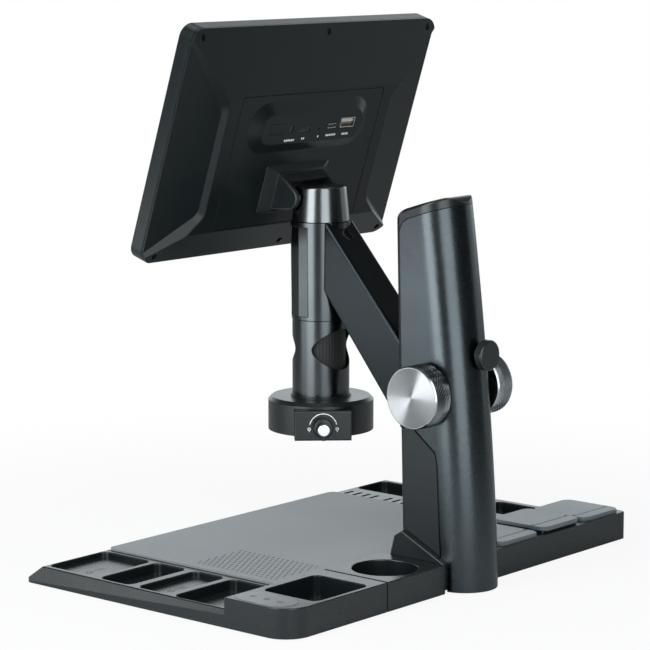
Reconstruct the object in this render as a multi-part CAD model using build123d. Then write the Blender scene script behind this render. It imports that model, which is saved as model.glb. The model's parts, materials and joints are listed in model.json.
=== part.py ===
"""Video magnifier: a desk camera on a column, with its screen, lit by a ring light.

The arm rides up and down a leaning pillar on a rack and pinion, over a base
with a work mat, open trays and lidded boxes. Lengths are in millimetres.
+Z is up, the user sits on the -Y side, and +X is the user's right.
The origin is on the table, under the middle of the whole object.
"""
from build123d import *
from math import acos, cos, degrees, pi, radians, sin, tan
import os

# ---------------------------------------------------------------- base
base_width = 360.0
base_depth = 230.0
rear_overhang = 16.6          # the pillar's foot stands this far behind the base
base_front = -(base_depth + rear_overhang) / 2
base_rear = base_front + base_depth
foot_height = 1.5
foot_radius = 8.0
plate_thickness = 2.5
plate_inset = 3.0             # from the trays' outer walls
plate_top = foot_height + plate_thickness
skirt_gap = 0.3               # the trays' skirts clear the table by this
tray_height = 12.3            # top of the low trays and of the mat
block_height = 19.5           # top of the raised rear blocks
block_depth = 53.0
corner_radius = 4.0
tray_corner_radius = 18.0     # the right tray's rear outer corner
front_slope = 13.7            # the front edge falls away over this depth
front_foot = 1.9              # upright part of the front edge, below its slope
flank_foot = (1.5, 8.5)       # height where the flank's slope starts, front and rear
flank_inset = (2.4, 0.6)      # how far it leans in at the top, front and rear
rim_round = 0.8               # soft edges round the trays' and blocks' tops
raised_round = 0.6            # the same on the right tray's raised block
part_gap = 0.4                # shadow gap between neighbouring base parts
mat_half_width = 117.5
mat_thickness = 2.2
mat_front_lip = 12.5          # black lip in front of the mat
mat_corner = 5.0
mat_proud = 1.2               # the mat stands this far above the trays
deck_rib = 4.0                # ribs between the hollows under the mat's deck
deck_skin = 2.2               # thickness of the deck under the mat
block_seam_x = 86.2           # between the right tray and the cup block
block_gap = 1.0               # width of that seam
pillar_gap_x = 27.2           # inner ends of the rear blocks
deep_floor = 5.5
shallow_floor = 8.8
pocket_corner = 5.0
pocket_inner_wall = 4.5       # between the pockets and the mat
# The right tray's pockets: front edge and rear edge, as distances ahead of the
# base's rear edge, the outer wall's thickness, and the floor's height.
right_pockets = [
    (215.0, 171.5, 6.0, shallow_floor),
    (166.5, 139.0, 4.5, deep_floor),
    (132.0, 105.0, 4.0, shallow_floor),
    (99.0, 56.0, 2.6, deep_floor),
]
rear_pocket_walls = (13.8, 28.5)  # from the seam, and from the tray's outer side
rear_pocket_margin = (3.5, 5.5)   # ahead of the rear edge wall, behind the block's front
cup_reach = 25.5              # cup centre ahead of the base's rear edge
cup_x = 57.5
cup_radius = 21.5
cup_rim = 1.6
touch_plate_width = 22.0
touch_plate_wall = 2.5        # between the plate and the tray's outer side
touch_plate_reach = (51.8, 8.2)
touch_plate_corner = 10.5
touch_plate_thickness = 0.8
touch_plate_proud = 0.15

# left tray
left_pocket_walls = (7.0, 23.5)   # from the tray's outer side, and from the mat
left_pocket_reach = (215.0, 119.0)
left_divider = 3.0            # the slanted wall between the two long pockets
left_rear_reach = (108.0, 57.0)
slot_size = (11.0, 2.8)
slot_wall = 8.5               # from the mat to the middle of the slots
slot_depth = 3.5
slot_pitch = 8.0
slot_groups = [(209.0, 4), (172.0, 6)]   # distance ahead of the rear edge, count

# lidded boxes
lid_count = 3
lid_size = (43.5, 46.5)
lid_thickness = 2.2
lid_first_x = -59.0           # centre of the lid next to the pillar
lid_pitch = 47.8
lid_gap = 0.4                 # under each lid's front part
lid_corner = 7.0
lid_reach = 2.4               # lids' rear edge ahead of the base's rear edge
lid_fold = 11.0               # from the lid's rear edge to the middle of its hinge
hinge_gap = 0.3               # round the hinge's knuckles
hinge_ear = 4.0               # length of the knuckles at the hinge's ends
lid_pin_radius = 0.55
lid_pin_length = 3.0
box_pocket = (37.0, 26.0)
middle_lid_lift = 1.6         # the middle box's rim stands this much higher

# ---------------------------------------------------------------- pillar
pillar_radius = 22.0
pillar_wall = 2.2
pillar_base_z = 0.3
pillar_lean = 22.6            # how far the rear face leans forward at lean_height
lean_height = 245.0
lean_power = 1.5
pillar_front_reach = 41.5     # front face ahead of the base's rear edge, at the foot
pillar_front_lean = 5.9
pillar_front_round = 4.0
pillar_height = 257.0         # where the top reaches its rear edge
top_rise = 11.7               # the top climbs this much from front to rear
top_run = 37.0
top_reach = 8.0
top_rounds = (14.0, 6.5)      # the top's front and rear corners in side view
cap_round = 2.0
cap_depth = 7.0               # height of the cap above its seam
cap_turn = 11.0               # the seam's front corner
housing_inset = 0.8           # the housing lies this far inside the shell
housing_bevel = 1.6           # width of the bevel round the shell's lower edge
seam_gap = 0.3
housing_top = 104.0           # top of the lower front housing
rim_depth = 3.8               # front cover's rim seen from the side
slot_gap = 0.8                 # between the arm and each side of the pillar's slot
slot_span = (57.0, 212.0)
collar_half_width = 26.2
collar_front_reach = 52.6
collar_heights = (31.3, 36.3, 19.4)
collar_reaches = (45.5, 37.3, 2.3)
collar_round = 0.8

# ---------------------------------------------------------------- focus drive
knob_radius = 20.5
knob_x = (25.3, 41.0)
knob_chamfer = 0.8
band_span = (1.6, 9.6)        # the knurled band, measured from the knob's face
band_depth = 0.25
shaft_reach = 18.0            # focus shaft ahead of the base's rear edge
shaft_z = 128.5
shaft_radius = 4.0
running_clearance = 0.05
gear_module = 1.0
pinion_teeth = 16
pinion_x = (-13.0, -5.0)
pressure_angle = radians(20.0)
backlash = 0.3
tooth_clearance = 0.3
rack_addendum = 0.9
travel_down = 35.0
travel_up = 55.0
rod_radius = 2.5
rod_x = 13.5
rod_reach = 34.0
rod_span = (9.0, 236.0)
carriage_half_width = 18.2
carriage_reach = (38.4, 29.6)
carriage_margin = 9.0         # rack beyond the pinion at each end of the travel
foot_block_top = 27.0
top_block_z = (231.0, 237.0)
lock_z = 154.4
lock_radius = 10.0
lock_rear = 14.5              # the lock knob's face, behind the base's rear edge
lock_screw_radius = 3.0
lock_gap = 0.3                # between the released lock screw and the carriage

# ---------------------------------------------------------------- arm and column
column_reach = 128.7
arm_half_width = 13.8
arm_top = ((112.0, 231.4), (51.5, 161.8))
arm_bottom = ((116.2, 187.8), (57.5, 114.5))
arm_edge_round = 2.2
arm_lower_round = 1.2
arm_screw_reach = 105.0
arm_screw_radius = 3.4
arm_screw_depth = (0.8, 2.2)    # from the arm's top to the screw's two faces
column_bottom = 112.6
column_seam = 165.5
head_seam = 231.6
head_top = 254.8
lower_radius = 19.3
upper_radii = (19.7, 20.4)
head_radii = (19.4, 17.0)
head_edge_round = 1.6
column_wall = 2.0
window_size = (35.6, 27.4)
window_z = 145.5
strip_angles = (-37.5, -7.0, 14.5)
strip_z = (168.0, 228.0)
strip_depth = 1.6
focus_ring_radii = (13.4, 16.7)
focus_ring_z = (127.5, 164.0)
rib_count = 48
rib_depth = 0.5
barrel_span = (95.0, 158.0)
barrel_wall = 1.6
barrel_nose_radius = 11.0     # where the barrel goes down through the ring light
barrel_nose_top = 116.0
lens_thickness = 4.0
camera_board_z = 178.0
camera_board_size = 24.0
board_thickness = 1.6

# ---------------------------------------------------------------- ring light
ring_radius = 35.7
ring_hole_radius = 14.5
ring_z = (89.8, 112.4)
ring_wall = 1.8
ring_chamfer = 2.4
ring_collar = (20.5, 1.8)     # radius and height of the collar on top
box_angle = 42.8              # the control box faces this far from +X towards +Y
box_width = 38.0
box_face = 38.6               # from the column's axis to the control box's face
box_z = (88.0, 108.2)
control_z = 97.2              # height of the brightness knob
control_radius = 6.6
control_depth = 6.0
cap_radius = 4.1
cap_length = 5.2

# ---------------------------------------------------------------- monitor
monitor_width = 245.6
monitor_height = 161.4
monitor_reach = 153.1         # middle of the rear rim ahead of the base's rear edge
monitor_z = 286.0
monitor_tilt = 18.0
monitor_corner = 9.0
side_depth = 11.8             # from the rear rim to the front
front_round = 0.8
seam_depth = 1.8              # the casing's joint lies this far ahead of the rim
casing_wall = 2.0
ridge_height = 10.0
ridge_v = (-59.0, 38.0)       # flat middle of the back, down and up from the centre
flank_u = (86.0, 83.0)        # foot and top of the step beside the flat middle
flank_rise = 6.3              # height of the side facets at the foot of the step
flank_v = (-46.0, 26.0)
flank_round = 11.0
ridge_round = 1.8
panel_half_width = 72.0
panel_v = (-58.0, 36.0)
groove = 0.7
boss_centre = 13.0
boss_foot = (121.0, 36.0)
boss_face = (103.0, 21.5)
boss_height = 4.2
boss_round = 1.2
screw_points = [(114.0, 75.0), (-114.0, 75.0), (114.0, -75.0), (-114.0, -75.0), (8.5, 75.0), (8.5, -75.0)]
screw_head_radius = 1.9
screw_radius = 1.2
glass_half_width = 118.0
glass_v = (-67.5, 76.0)
glass_thickness = 1.1
window_half_width = 109.5
window_v = (-66.0, 70.5)
lcd_thickness = 4.4
board_w = 4.6
board_half_width = 56.0
board_v = (-8.0, 30.0)
usb_place = (35.5, 13.9)
usb_size = (14.2, 6.8)
usb_c_place = (20.5, 12.0)
usb_c_size = (9.0, 3.2)
card_place = (-7.75, 10.8)
card_size = (11.5, 2.2)
reset_place = (-21.5, 12.2)
reset_radius = 2.2
reset_travel = 0.5
lamp_place = (7.5, 10.5)
lamp_radius = 0.7
blank_place = (-35.5, 13.0)
blank_size = (15.0, 8.0)
button_u = (-70.0, -80.0, -90.0, -100.0)
button_v = -73.2
button_radius = 2.4
button_proud = 0.6
button_travel = 0.6
hinge_v = -32.2
hinge_w = 26.8
hinge_radius = 7.4
hinge_pin_radius = 3.5
bracket_half_width = 23.0
bracket_foot = (64.0, 35.0)
bracket_foot_rise = 4.2
bracket_draft = 3.0           # the cheeks' roots stand this far inside the foot
bracket_round = 1.2
cheek_gap = 0.6               # between the column head and each cheek
tilt_limits = (-20, 25)       # degrees
tilt_step = 5
web_end = 6.0                 # the web between the cheeks ends this far from the hinge


# ================================================================ helpers
def block(x, y, z):
    """A box from its two limits along each axis, given in any order."""
    spans = [sorted(limits) for limits in (x, y, z)]
    size = [high - low for low, high in spans]
    middle = [(high + low) / 2 for low, high in spans]
    return Pos(*middle) * Box(*size)


def soft_block(x, y, z, radius):
    """A box with rounded upright corners."""
    return fillet(block(x, y, z).edges().filter_by(Axis.Z), radius)


def rod_z(radius, z, x=0.0, y=0.0):
    """An upright cylinder between two heights."""
    return Pos(x, y, (z[0] + z[1]) / 2) * Cylinder(radius, abs(z[1] - z[0]))


def rod_x_axis(radius, x, y, z):
    """A cylinder along X."""
    return Pos((x[0] + x[1]) / 2, y, z) * Rot(0, 90, 0) * Cylinder(radius, abs(x[1] - x[0]))


def rod_y_axis(radius, y, x, z):
    """A cylinder along Y."""
    return Pos(x, (y[0] + y[1]) / 2, z) * Rot(90, 0, 0) * Cylinder(radius, abs(y[1] - y[0]))


def side_cut(points, half_width):
    """A plate of an outline in side view, (y, z) points, centred on x = 0."""
    outline = Plane.YZ * make_face(Polyline(*points, close=True))
    return extrude(outline, half_width, both=True)


def ahead(distance):
    """The y that lies a distance ahead of the base's rear edge."""
    return base_rear - distance


# ================================================================ base
def flank_cutter(side):
    """The long tapering slope that runs along a low tray's outer flank."""
    edge = side * base_width / 2
    faces = []
    for y, foot, inset in zip((base_front, ahead(block_depth)), flank_foot, flank_inset):
        outline = Polyline(
            (edge + side, foot),
            (edge, foot),
            (edge - side * inset, tray_height),
            (edge - side * inset, tray_height + 1),
            (edge + side, tray_height + 1),
            close=True,
        )
        faces.append(Plane.XZ.offset(-y) * make_face(outline))
    return loft(faces)


def front_cutter():
    """The slope across the whole front edge."""
    half = base_width
    points = [
        (base_front - 1, skirt_gap + front_foot),
        (base_front - 1, tray_height + 1),
        (base_front + front_slope, tray_height + 1),
        (base_front + front_slope, tray_height),
        (base_front, skirt_gap + front_foot),
    ]
    return side_cut(points, half)


def base_slab(inset, z):
    """A slab of the whole base's outline, shrunk by inset, between two heights."""
    side = base_width / 2 - inset
    slab = block((-side, side), (base_front + inset, base_rear - inset), z)
    corners = slab.edges().filter_by(Axis.Z).sort_by(lambda edge: edge.center().X + edge.center().Y)
    slab = fillet(corners[:-1], corner_radius - inset)
    tray_corner = slab.edges().filter_by(Axis.Z).sort_by(lambda edge: edge.center().X + edge.center().Y)[-1]
    return fillet(tray_corner, tray_corner_radius - inset)


def plate_room():
    """The space under the trays that the base plate fills."""
    return base_slab(plate_inset - part_gap, (0, plate_top))


def base_piece(solid):
    """A base part: the solid inside the base's outline, over the plate."""
    return solid & base_slab(0, (skirt_gap, block_height + middle_lid_lift + 1)) - plate_room()


def rounded_top(solid, height, radius, straight_y=None):
    """Rounds the edges of the flat top at a height, but not those that lie at straight_y."""
    edges = []
    for face in solid.faces().filter_by(Plane.XY):
        if abs(face.center().Z - height) < 0.01:
            edges += face.edges()
    if straight_y is not None:
        edges = [edge for edge in edges if abs(edge.center().Y - straight_y) > 0.1]
    return fillet(edges, radius)


def make_base_plate():
    plate = base_slab(plate_inset, (foot_height, plate_top))
    inner = pillar_radius - pillar_wall - 0.4
    centre = base_rear + rear_overhang - pillar_radius
    tongue = block((-inner, inner), (base_rear - 2 * plate_inset, centre), (foot_height, plate_top))
    plate += tongue + rod_z(inner, (foot_height, plate_top), 0, centre)
    for x, y in foot_block_screws():
        plate -= rod_z(screw_radius * 2 + 0.2, (0, plate_top + 1), x, y)
        plate -= rod_z(screw_radius * 2 + 2.2, (0, foot_height + 1.2), x, y)
    return plate


def make_rubber_feet():
    inset = 20.0
    x = base_width / 2 - inset
    places = [(side * x, y) for side in (-1, 1) for y in (base_front + inset, 0, base_rear - inset)]
    return [rod_z(foot_radius, (0, foot_height), *place) for place in places]


def make_right_tray():
    outer = base_width / 2
    low = block((mat_half_width + part_gap, outer), (base_front, ahead(block_depth)), (skirt_gap, tray_height))
    low = low - flank_cutter(1) - front_cutter()
    raised = block((block_seam_x + block_gap / 2, outer), (ahead(block_depth), base_rear), (skirt_gap, block_height))
    tray = base_piece(low + raised)
    for front, rear, wall, floor in right_pockets:
        x = (mat_half_width + pocket_inner_wall, outer - wall)
        tray -= soft_block(x, (ahead(front), ahead(rear)), (floor, tray_height + 1), pocket_corner)
    rear_wall, front_wall = rear_pocket_margin
    y = (ahead(block_depth - front_wall), ahead(rear_wall))
    inner_wall, outer_wall = rear_pocket_walls
    x = (block_seam_x + inner_wall, outer - outer_wall)
    tray -= soft_block(x, y, (deep_floor, block_height + 1), pocket_corner)
    tray = rounded_top(tray, block_height, raised_round)
    tray = rounded_top(tray, tray_height, rim_round, ahead(block_depth))
    return tray - touch_plate_shape(0.1, 1.0)


def touch_plate_shape(clearance, above):
    """The touch plate's shape, grown by a clearance, for the plate and its seat."""
    outer = base_width / 2 - touch_plate_wall
    x = (outer - touch_plate_width - clearance, outer + clearance)
    y = (ahead(touch_plate_reach[0]) - clearance, ahead(touch_plate_reach[1]) + clearance)
    z = (block_height - touch_plate_thickness, block_height + above)
    return soft_block(x, y, z, touch_plate_corner)


def make_left_tray():
    outer = base_width / 2
    x = (-outer, -mat_half_width - part_gap)
    tray = block(x, (base_front, ahead(block_depth + part_gap)), (skirt_gap, tray_height))
    tray = base_piece(tray - flank_cutter(-1) - front_cutter())
    front, rear = (ahead(reach) for reach in left_pocket_reach)
    tray -= soft_block(left_pocket_x(), (front, rear), (deep_floor, tray_height + 1), pocket_corner)
    tray = rounded_top(tray - rear_left_pocket(), tray_height, rim_round)
    for reach, count in slot_groups:
        for number in range(count):
            y = ahead(reach) + number * slot_pitch
            place = Pos(-mat_half_width - slot_wall, y, tray_height + 1)
            tray -= place * extrude(SlotOverall(*slot_size), -slot_depth - 1)
    return tray


def left_pocket_x():
    """The two sides of the left tray's pockets."""
    outer_wall, inner_wall = left_pocket_walls
    return (outer_wall - base_width / 2, -mat_half_width - inner_wall)


def rear_left_pocket():
    """The left tray's rear pocket, whose front wall runs at a slant."""
    front, rear = (ahead(reach) for reach in left_rear_reach)
    low_x, high_x = left_pocket_x()
    outline = Polyline((low_x, front), (high_x, front + 14), (high_x, rear), (low_x, rear), close=True)
    pocket = Pos(0, 0, deep_floor) * extrude(make_face(outline), tray_height)
    return fillet(pocket.edges().filter_by(Axis.Z), 4.0)


def make_mat_deck():
    half = mat_half_width
    deck = block((-half, half), (base_front, ahead(block_depth + part_gap)), (skirt_gap, tray_height))
    deck = base_piece(deck - front_cutter())
    return deck - mat_shape(part_gap, mat_proud + 1) - deck_hollows()


def deck_hollows():
    """Hollows under the deck, between its ribs."""
    pitch = 2 * mat_half_width / 3
    hollows = []
    for column in range(3):
        x = -mat_half_width + pitch * (column + 0.5)
        side = (pitch - deck_rib) / 2
        y = (base_front + mat_front_lip + deck_rib, ahead(block_depth + deck_rib))
        hollows.append(block((x - side, x + side), y, (0, tray_height - mat_thickness - deck_skin)))
    return hollows[0] + hollows[1] + hollows[2]


def mat_shape(clearance, above):
    """The work mat's shape, grown by a clearance, for the mat and its seat."""
    half = mat_half_width - 0.8
    y = (base_front + mat_front_lip - clearance, ahead(block_depth + part_gap) + clearance)
    z = (tray_height - mat_thickness, tray_height + above)
    return soft_block((-half - clearance, half + clearance), y, z, mat_corner)


def make_cup_block():
    x = (pillar_gap_x, block_seam_x - block_gap / 2)
    cup = base_piece(block(x, (ahead(block_depth), base_rear), (skirt_gap, block_height)))
    cup -= rod_z(cup_radius, (deep_floor, block_height + 1), cup_x, ahead(cup_reach))
    return rounded_top(cup, block_height, rim_round)


def lid_x(number):
    """The middle of a lid, counted from the pillar outwards."""
    return lid_first_x - number * lid_pitch


def lid_top(number):
    """The height of the rim that a lid lies on."""
    return block_height + (middle_lid_lift if number == 1 else 0.0)


def make_parts_box():
    x = (-base_width / 2, -pillar_gap_x)
    box = base_piece(block(x, (ahead(block_depth), base_rear), (skirt_gap, block_height)))
    for number in range(lid_count):
        middle = lid_x(number)
        side = box_pocket[0] / 2
        front = ahead(lid_reach + lid_size[1] - 5.5)
        span_x = (middle - side, middle + side)
        span_y = (front, front + box_pocket[1])
        if lid_top(number) > block_height:
            rim_x = (span_x[0] - 1.8, span_x[1] + 1.8)
            rim_y = (span_y[0] - 1.8, ahead(lid_reach + 2))
            box += soft_block(rim_x, rim_y, (block_height - 1, lid_top(number)), 3.0)
        box -= soft_block(span_x, span_y, (deep_floor, lid_top(number) + 1), 3.0)
    return rounded_top(box, block_height, raised_round)


def whole_lid(number):
    """One lid with its hinge strip, before the hinge parts them."""
    middle = lid_x(number)
    side = lid_size[0] / 2
    y = (ahead(lid_reach + lid_size[1]), ahead(lid_reach))
    z = (lid_top(number), lid_top(number) + lid_gap + lid_thickness)
    lid = soft_block((middle - side, middle + side), y, z, lid_corner)
    return fillet(lid.faces().sort_by(Axis.Z)[-1].edges(), 0.9)


def fold_y():
    """The y of the lids' hinges."""
    return ahead(lid_reach + lid_fold)


def fold_z(number):
    """The height of a lid's hinge, in the middle of the lid's thickness."""
    return lid_top(number) + lid_gap + lid_thickness / 2


def knuckle(number, inner, outer, radius):
    """A round bar on a lid's hinge line, between two distances from the lid's middle."""
    return rod_x_axis(radius, (lid_x(number) + inner, lid_x(number) + outer), fold_y(), fold_z(number))


def ear_room(number, side, clearance):
    """The room of the strip's knuckle at one end of a lid's hinge."""
    end = lid_size[0] / 2
    inner = side * (end - hinge_ear - clearance)
    radius = lid_thickness / 2 + clearance
    middle = lid_x(number)
    room = knuckle(number, inner, side * (end + clearance), radius)
    x = (middle + inner, middle + side * (end + clearance))
    y = (fold_y(), fold_y() + radius + hinge_gap)
    top = fold_z(number) + (radius if clearance else hinge_gap)
    return room + block(x, y, (fold_z(number) - radius, top))


def make_lid(number):
    """The part of a lid in front of its hinge: its rear edge is a round knuckle on two pins."""
    side = base_width
    front = block((-side, side), (base_front, fold_y()), (lid_top(number) + lid_gap, fold_z(number) + lid_thickness))
    lid = whole_lid(number) & front
    end = lid_size[0] / 2 - hinge_ear - hinge_gap
    lid += knuckle(number, -end, end, lid_thickness / 2)
    for side in (-1, 1):
        lid -= ear_room(number, side, hinge_gap)
        bore = knuckle(number, side * end, side * (end - lid_pin_length), lid_pin_radius + running_clearance)
        lid -= bore
    return lid


def make_hinge_strip(number):
    """The fixed strip behind a lid, with the two knuckles and pins that the lid turns on."""
    side = base_width
    edge = fold_y() + lid_thickness / 2 + hinge_gap
    rear = block((-side, side), (edge, base_rear + 1), (0, pillar_height))
    strip = whole_lid(number) & rear
    end = lid_size[0] / 2
    for side in (-1, 1):
        strip += ear_room(number, side, 0)
        reach = side * (end - hinge_ear - hinge_gap - lid_pin_length + running_clearance)
        strip += knuckle(number, side * (end - 1), reach, lid_pin_radius)
    return strip & whole_lid(number)


def make_hinge_strips():
    return [make_hinge_strip(number) for number in range(lid_count)]


# ================================================================ pillar
def pillar_rear(z):
    """The rear face's y at a height."""
    return base_rear + rear_overhang - pillar_lean * (z / lean_height) ** lean_power


def pillar_front(z):
    """The front face's y at a height."""
    return ahead(pillar_front_reach + pillar_front_lean * z / lean_height)


def pillar_section(z, inset):
    """The pillar's plan at a height: a half-round rear and rounded front corners."""
    half = pillar_radius - inset
    corner = max(pillar_front_round - inset, 0.5)
    centre = pillar_rear(z) - pillar_radius
    front = pillar_front(z) + inset
    outline = [
        Line((half, centre), (half, front + corner)),
        CenterArc((half - corner, front + corner), corner, 0, -90),
        Line((half - corner, front), (corner - half, front)),
        CenterArc((corner - half, front + corner), corner, -90, -90),
        Line((-half, front + corner), (-half, centre)),
        ThreePointArc((-half, centre), (0, centre + half), (half, centre)),
    ]
    return Pos(0, 0, z) * make_face(outline)


def pillar_body(inset, z_low, z_high):
    """The leaning pillar as one solid, shrunk by inset all round."""
    return loft([pillar_section(z_low + (z_high - z_low) * step / 5, inset) for step in range(6)])


def top_z(y, drop=0.0):
    """The height of the pillar's sloping top at a y, lowered by drop."""
    return pillar_height + (y - ahead(top_reach)) * top_rise / top_run - drop


def under_top(inset, drop, front_round=None, rear_round=None):
    """What lies behind the pillar's front and under its top, both moved in, with round corners."""
    front_z = pillar_height
    for _ in range(3):
        front_z = top_z(pillar_front(front_z) + inset, drop)
    rear_z = top_z(pillar_rear(pillar_height), drop)
    slack = 0.05
    outline = Polyline(
        (pillar_front(-5) + inset - slack, -5),
        (pillar_front(front_z) + inset - slack, front_z),
        (pillar_rear(rear_z) + slack, rear_z),
        (pillar_rear(rear_z - 40) + 20 * slack, rear_z - 40),
        (base_rear + 40, rear_z - 41),
        (base_rear + 40, -5),
        close=True,
    )
    face = make_face(outline)
    if front_round:
        face = fillet([face.vertices().sort_by(Axis.X)[0]], front_round)
    if rear_round:
        face = fillet([face.vertices().sort_by(Axis.Y)[-1]], rear_round)
    return extrude(Plane.YZ * face, 60, both=True)


def pillar_skin(inset):
    """The pillar's whole skin moved in by inset, with its openings, before the seams part it."""
    outer = pillar_body(inset, pillar_base_z, pillar_height + 4) & under_top(0, inset)
    outer = fillet(outer.faces().sort_by(Axis.Z)[-1].edges(), cap_round)
    outer = outer & under_top(0, inset, *top_rounds)
    inner = pillar_body(pillar_wall, 0, pillar_height + 2) & under_top(0, pillar_wall + 1, *top_rounds)
    skin = outer - inner
    slot_side = arm_half_width + slot_gap
    skin -= block((-slot_side, slot_side), (ahead(80), ahead(30)), slot_span)
    return skin - block((-30, 30), (base_front, base_rear - plate_inset + part_gap), (-1, plate_top))


def rim_room(gap):
    """What lies inside the front cover's rim and under its cap."""
    return under_top(rim_depth - gap, cap_depth - gap, cap_turn)


def housing_outline(gap):
    """The lower front housing's side view."""
    points = [
        (ahead(80), -5),
        (ahead(8.9) - gap, -5),
        (ahead(8.9) - gap, 19.0),
        (ahead(12.4) - gap, 82.0),
        (ahead(13.9) - gap, 89.6),
        (ahead(32.0) - gap, housing_top - gap),
        (ahead(80), housing_top - gap),
    ]
    return make_face(Polyline(*points, close=True))


def housing_bevels():
    """The wedges cut round the shell's lower edge, one on each side."""
    depth = housing_bevel * tan(radians(30))
    wedge = extrude(housing_outline(0), depth + 0.5, taper=-60)
    right = Pos(pillar_radius - depth, 0, 0) * (Plane.YZ.location * wedge)
    return right + mirror(right, Plane.YZ)


def make_pillar_parts():
    """The shell, the front cover with its cap, and the lower front housing."""
    skin = pillar_skin(0)
    cover = skin - rim_room(seam_gap) - block((-60, 60), (ahead(80), base_rear + 40), (-5, housing_top))
    housing = pillar_skin(housing_inset) & extrude(Plane.YZ * housing_outline(seam_gap), 60, both=True)
    shell = (skin & rim_room(0)) - extrude(Plane.YZ * housing_outline(0), 60, both=True) - housing_bevels()
    shell -= rod_x_axis(shaft_radius + 3.5, (-40, 40), ahead(shaft_reach), shaft_z)
    lock_bore = lock_screw_radius + running_clearance
    shell += rod_y_axis(lock_screw_radius + 3, (pillar_rear(lock_z) - 9, pillar_rear(lock_z) - 1), 0, lock_z)
    shell -= rod_y_axis(lock_bore, (ahead(30), base_rear + 30), 0, lock_z)
    return shell, cover, housing


def foot_block_screws():
    """Where the screws through the plate hold the pillar's foot block."""
    return [(x, ahead(reach)) for x in (-9.0, 9.0) for reach in (22.0, 2.0)]


def make_foot_block():
    """The casting inside the pillar's foot that carries the guide rods."""
    inner = pillar_body(pillar_wall + 0.2, pillar_base_z, pillar_height)
    side = pillar_radius
    foot = inner & block((-side, side), (ahead(39.5), base_rear + 20), (plate_top, foot_block_top))
    for side in (-1, 1):
        foot -= rod_z(rod_radius, (rod_span[0], foot_block_top + 1), side * rod_x, ahead(rod_reach))
    for x, y in foot_block_screws():
        foot -= rod_z(screw_radius * 2, (plate_top - 1, foot_block_top - 6), x, y)
    return foot


def make_top_block():
    """The block that holds the guide rods' upper ends."""
    inner = pillar_body(pillar_wall + 0.2, pillar_base_z, pillar_height)
    top = inner & block((-30, 30), (ahead(45), ahead(16)), top_block_z)
    for side in (-1, 1):
        top -= rod_z(rod_radius, (top_block_z[0] - 1, rod_span[1]), side * rod_x, ahead(rod_reach))
    return top


def make_guide_rods():
    return [rod_z(rod_radius, rod_span, side * rod_x, ahead(rod_reach)) for side in (-1, 1)]


def make_foot_collar():
    """The sloping skirt round the foot of the pillar."""
    points = [
        (ahead(collar_front_reach), plate_top),
        (ahead(collar_reaches[0]), collar_heights[0]),
        (ahead(collar_reaches[1]), collar_heights[1]),
        (ahead(collar_reaches[2]), collar_heights[2]),
        (ahead(collar_reaches[2]), plate_top),
    ]
    collar = side_cut(points, collar_half_width)
    corners = collar.edges().filter_by(lambda edge: edge.center().Y < ahead(45.9) and abs(edge.center().X) > 20)
    collar = fillet(corners.filter_by(lambda edge: edge.length > 15), 4.0)
    collar = fillet(collar.edges().filter_by(lambda edge: edge.center().Z > plate_top + 1), collar_round)
    return collar - pillar_body(-0.15, 0, pillar_height)


def make_base_screws():
    """The screws that hold the pillar's foot block to the plate."""
    screws = []
    for x, y in foot_block_screws():
        shank = rod_z(screw_radius * 2, (foot_height + 0.2, foot_block_top - 6), x, y)
        head = rod_z(screw_radius * 2 + 2, (foot_height - 1.0, foot_height + 1.2), x, y)
        screws.append(shank + head)
    return screws


# ================================================================ focus drive
def make_pinion_shaft():
    """The focus shaft with its pinion."""
    y = ahead(shaft_reach)
    shaft = rod_x_axis(shaft_radius, (-knob_x[1] + 3, knob_x[1] - 3), y, shaft_z)
    teeth = Plane.YZ * pinion_face()
    gear = Pos(pinion_x[0], y, shaft_z) * extrude(teeth, pinion_x[1] - pinion_x[0])
    return shaft + gear


def pinion_face():
    """The pinion's section, with involute flanks and a tooth towards the rack."""
    pitch = gear_module * pinion_teeth / 2
    base = pitch * cos(pressure_angle)
    tip = pitch + gear_module - 0.1
    root = pitch - gear_module - tooth_clearance
    half_tooth = (pi * gear_module / 2 - backlash / 2) / pitch / 2
    roll = tan(pressure_angle) - pressure_angle
    points = []
    for tooth in range(pinion_teeth):
        middle = pi + 2 * pi * tooth / pinion_teeth
        flank = []
        for step in range(6):
            radius = base + (tip - base) * step / 5
            angle = acos(base / radius)
            flank.append((radius, half_tooth + roll - (tan(angle) - angle)))
        lower = [(root, half_tooth + roll)] + flank
        points += [(r * cos(middle - a), r * sin(middle - a)) for r, a in lower]
        points += [(r * cos(middle + a), r * sin(middle + a)) for r, a in reversed(lower)]
    return make_face(Polyline(*points, close=True))


def make_rack():
    """The rack on the carriage's back, in mesh with the pinion at rest."""
    pitch_y = ahead(shaft_reach) - gear_module * pinion_teeth / 2
    pitch = pi * gear_module
    low = shaft_z - travel_up - carriage_margin
    high = shaft_z + travel_down + carriage_margin
    tip_y = pitch_y + rack_addendum
    root_y = pitch_y - gear_module - tooth_clearance
    bar = block(pinion_x, (ahead(carriage_reach[1]), tip_y), (low, high))
    half_gap = pitch / 4 + backlash / 4
    for number in range(int((low - shaft_z) / pitch), int((high - shaft_z) / pitch) + 1):
        middle = shaft_z + number * pitch
        top = half_gap + rack_addendum * tan(pressure_angle)
        bottom = half_gap - (gear_module + tooth_clearance) * tan(pressure_angle)
        outline = [
            (tip_y + 0.5, middle - top),
            (tip_y + 0.5, middle + top),
            (tip_y, middle + top),
            (root_y, middle + bottom),
            (root_y, middle - bottom),
            (tip_y, middle - top),
        ]
        if low < middle - top and middle + top < high:
            bar -= side_cut(outline, 30)
    return bar


def carriage_span():
    """The carriage's lower and upper ends at rest."""
    return (shaft_z - travel_up - carriage_margin - 1, shaft_z + travel_down + carriage_margin + 1)


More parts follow.
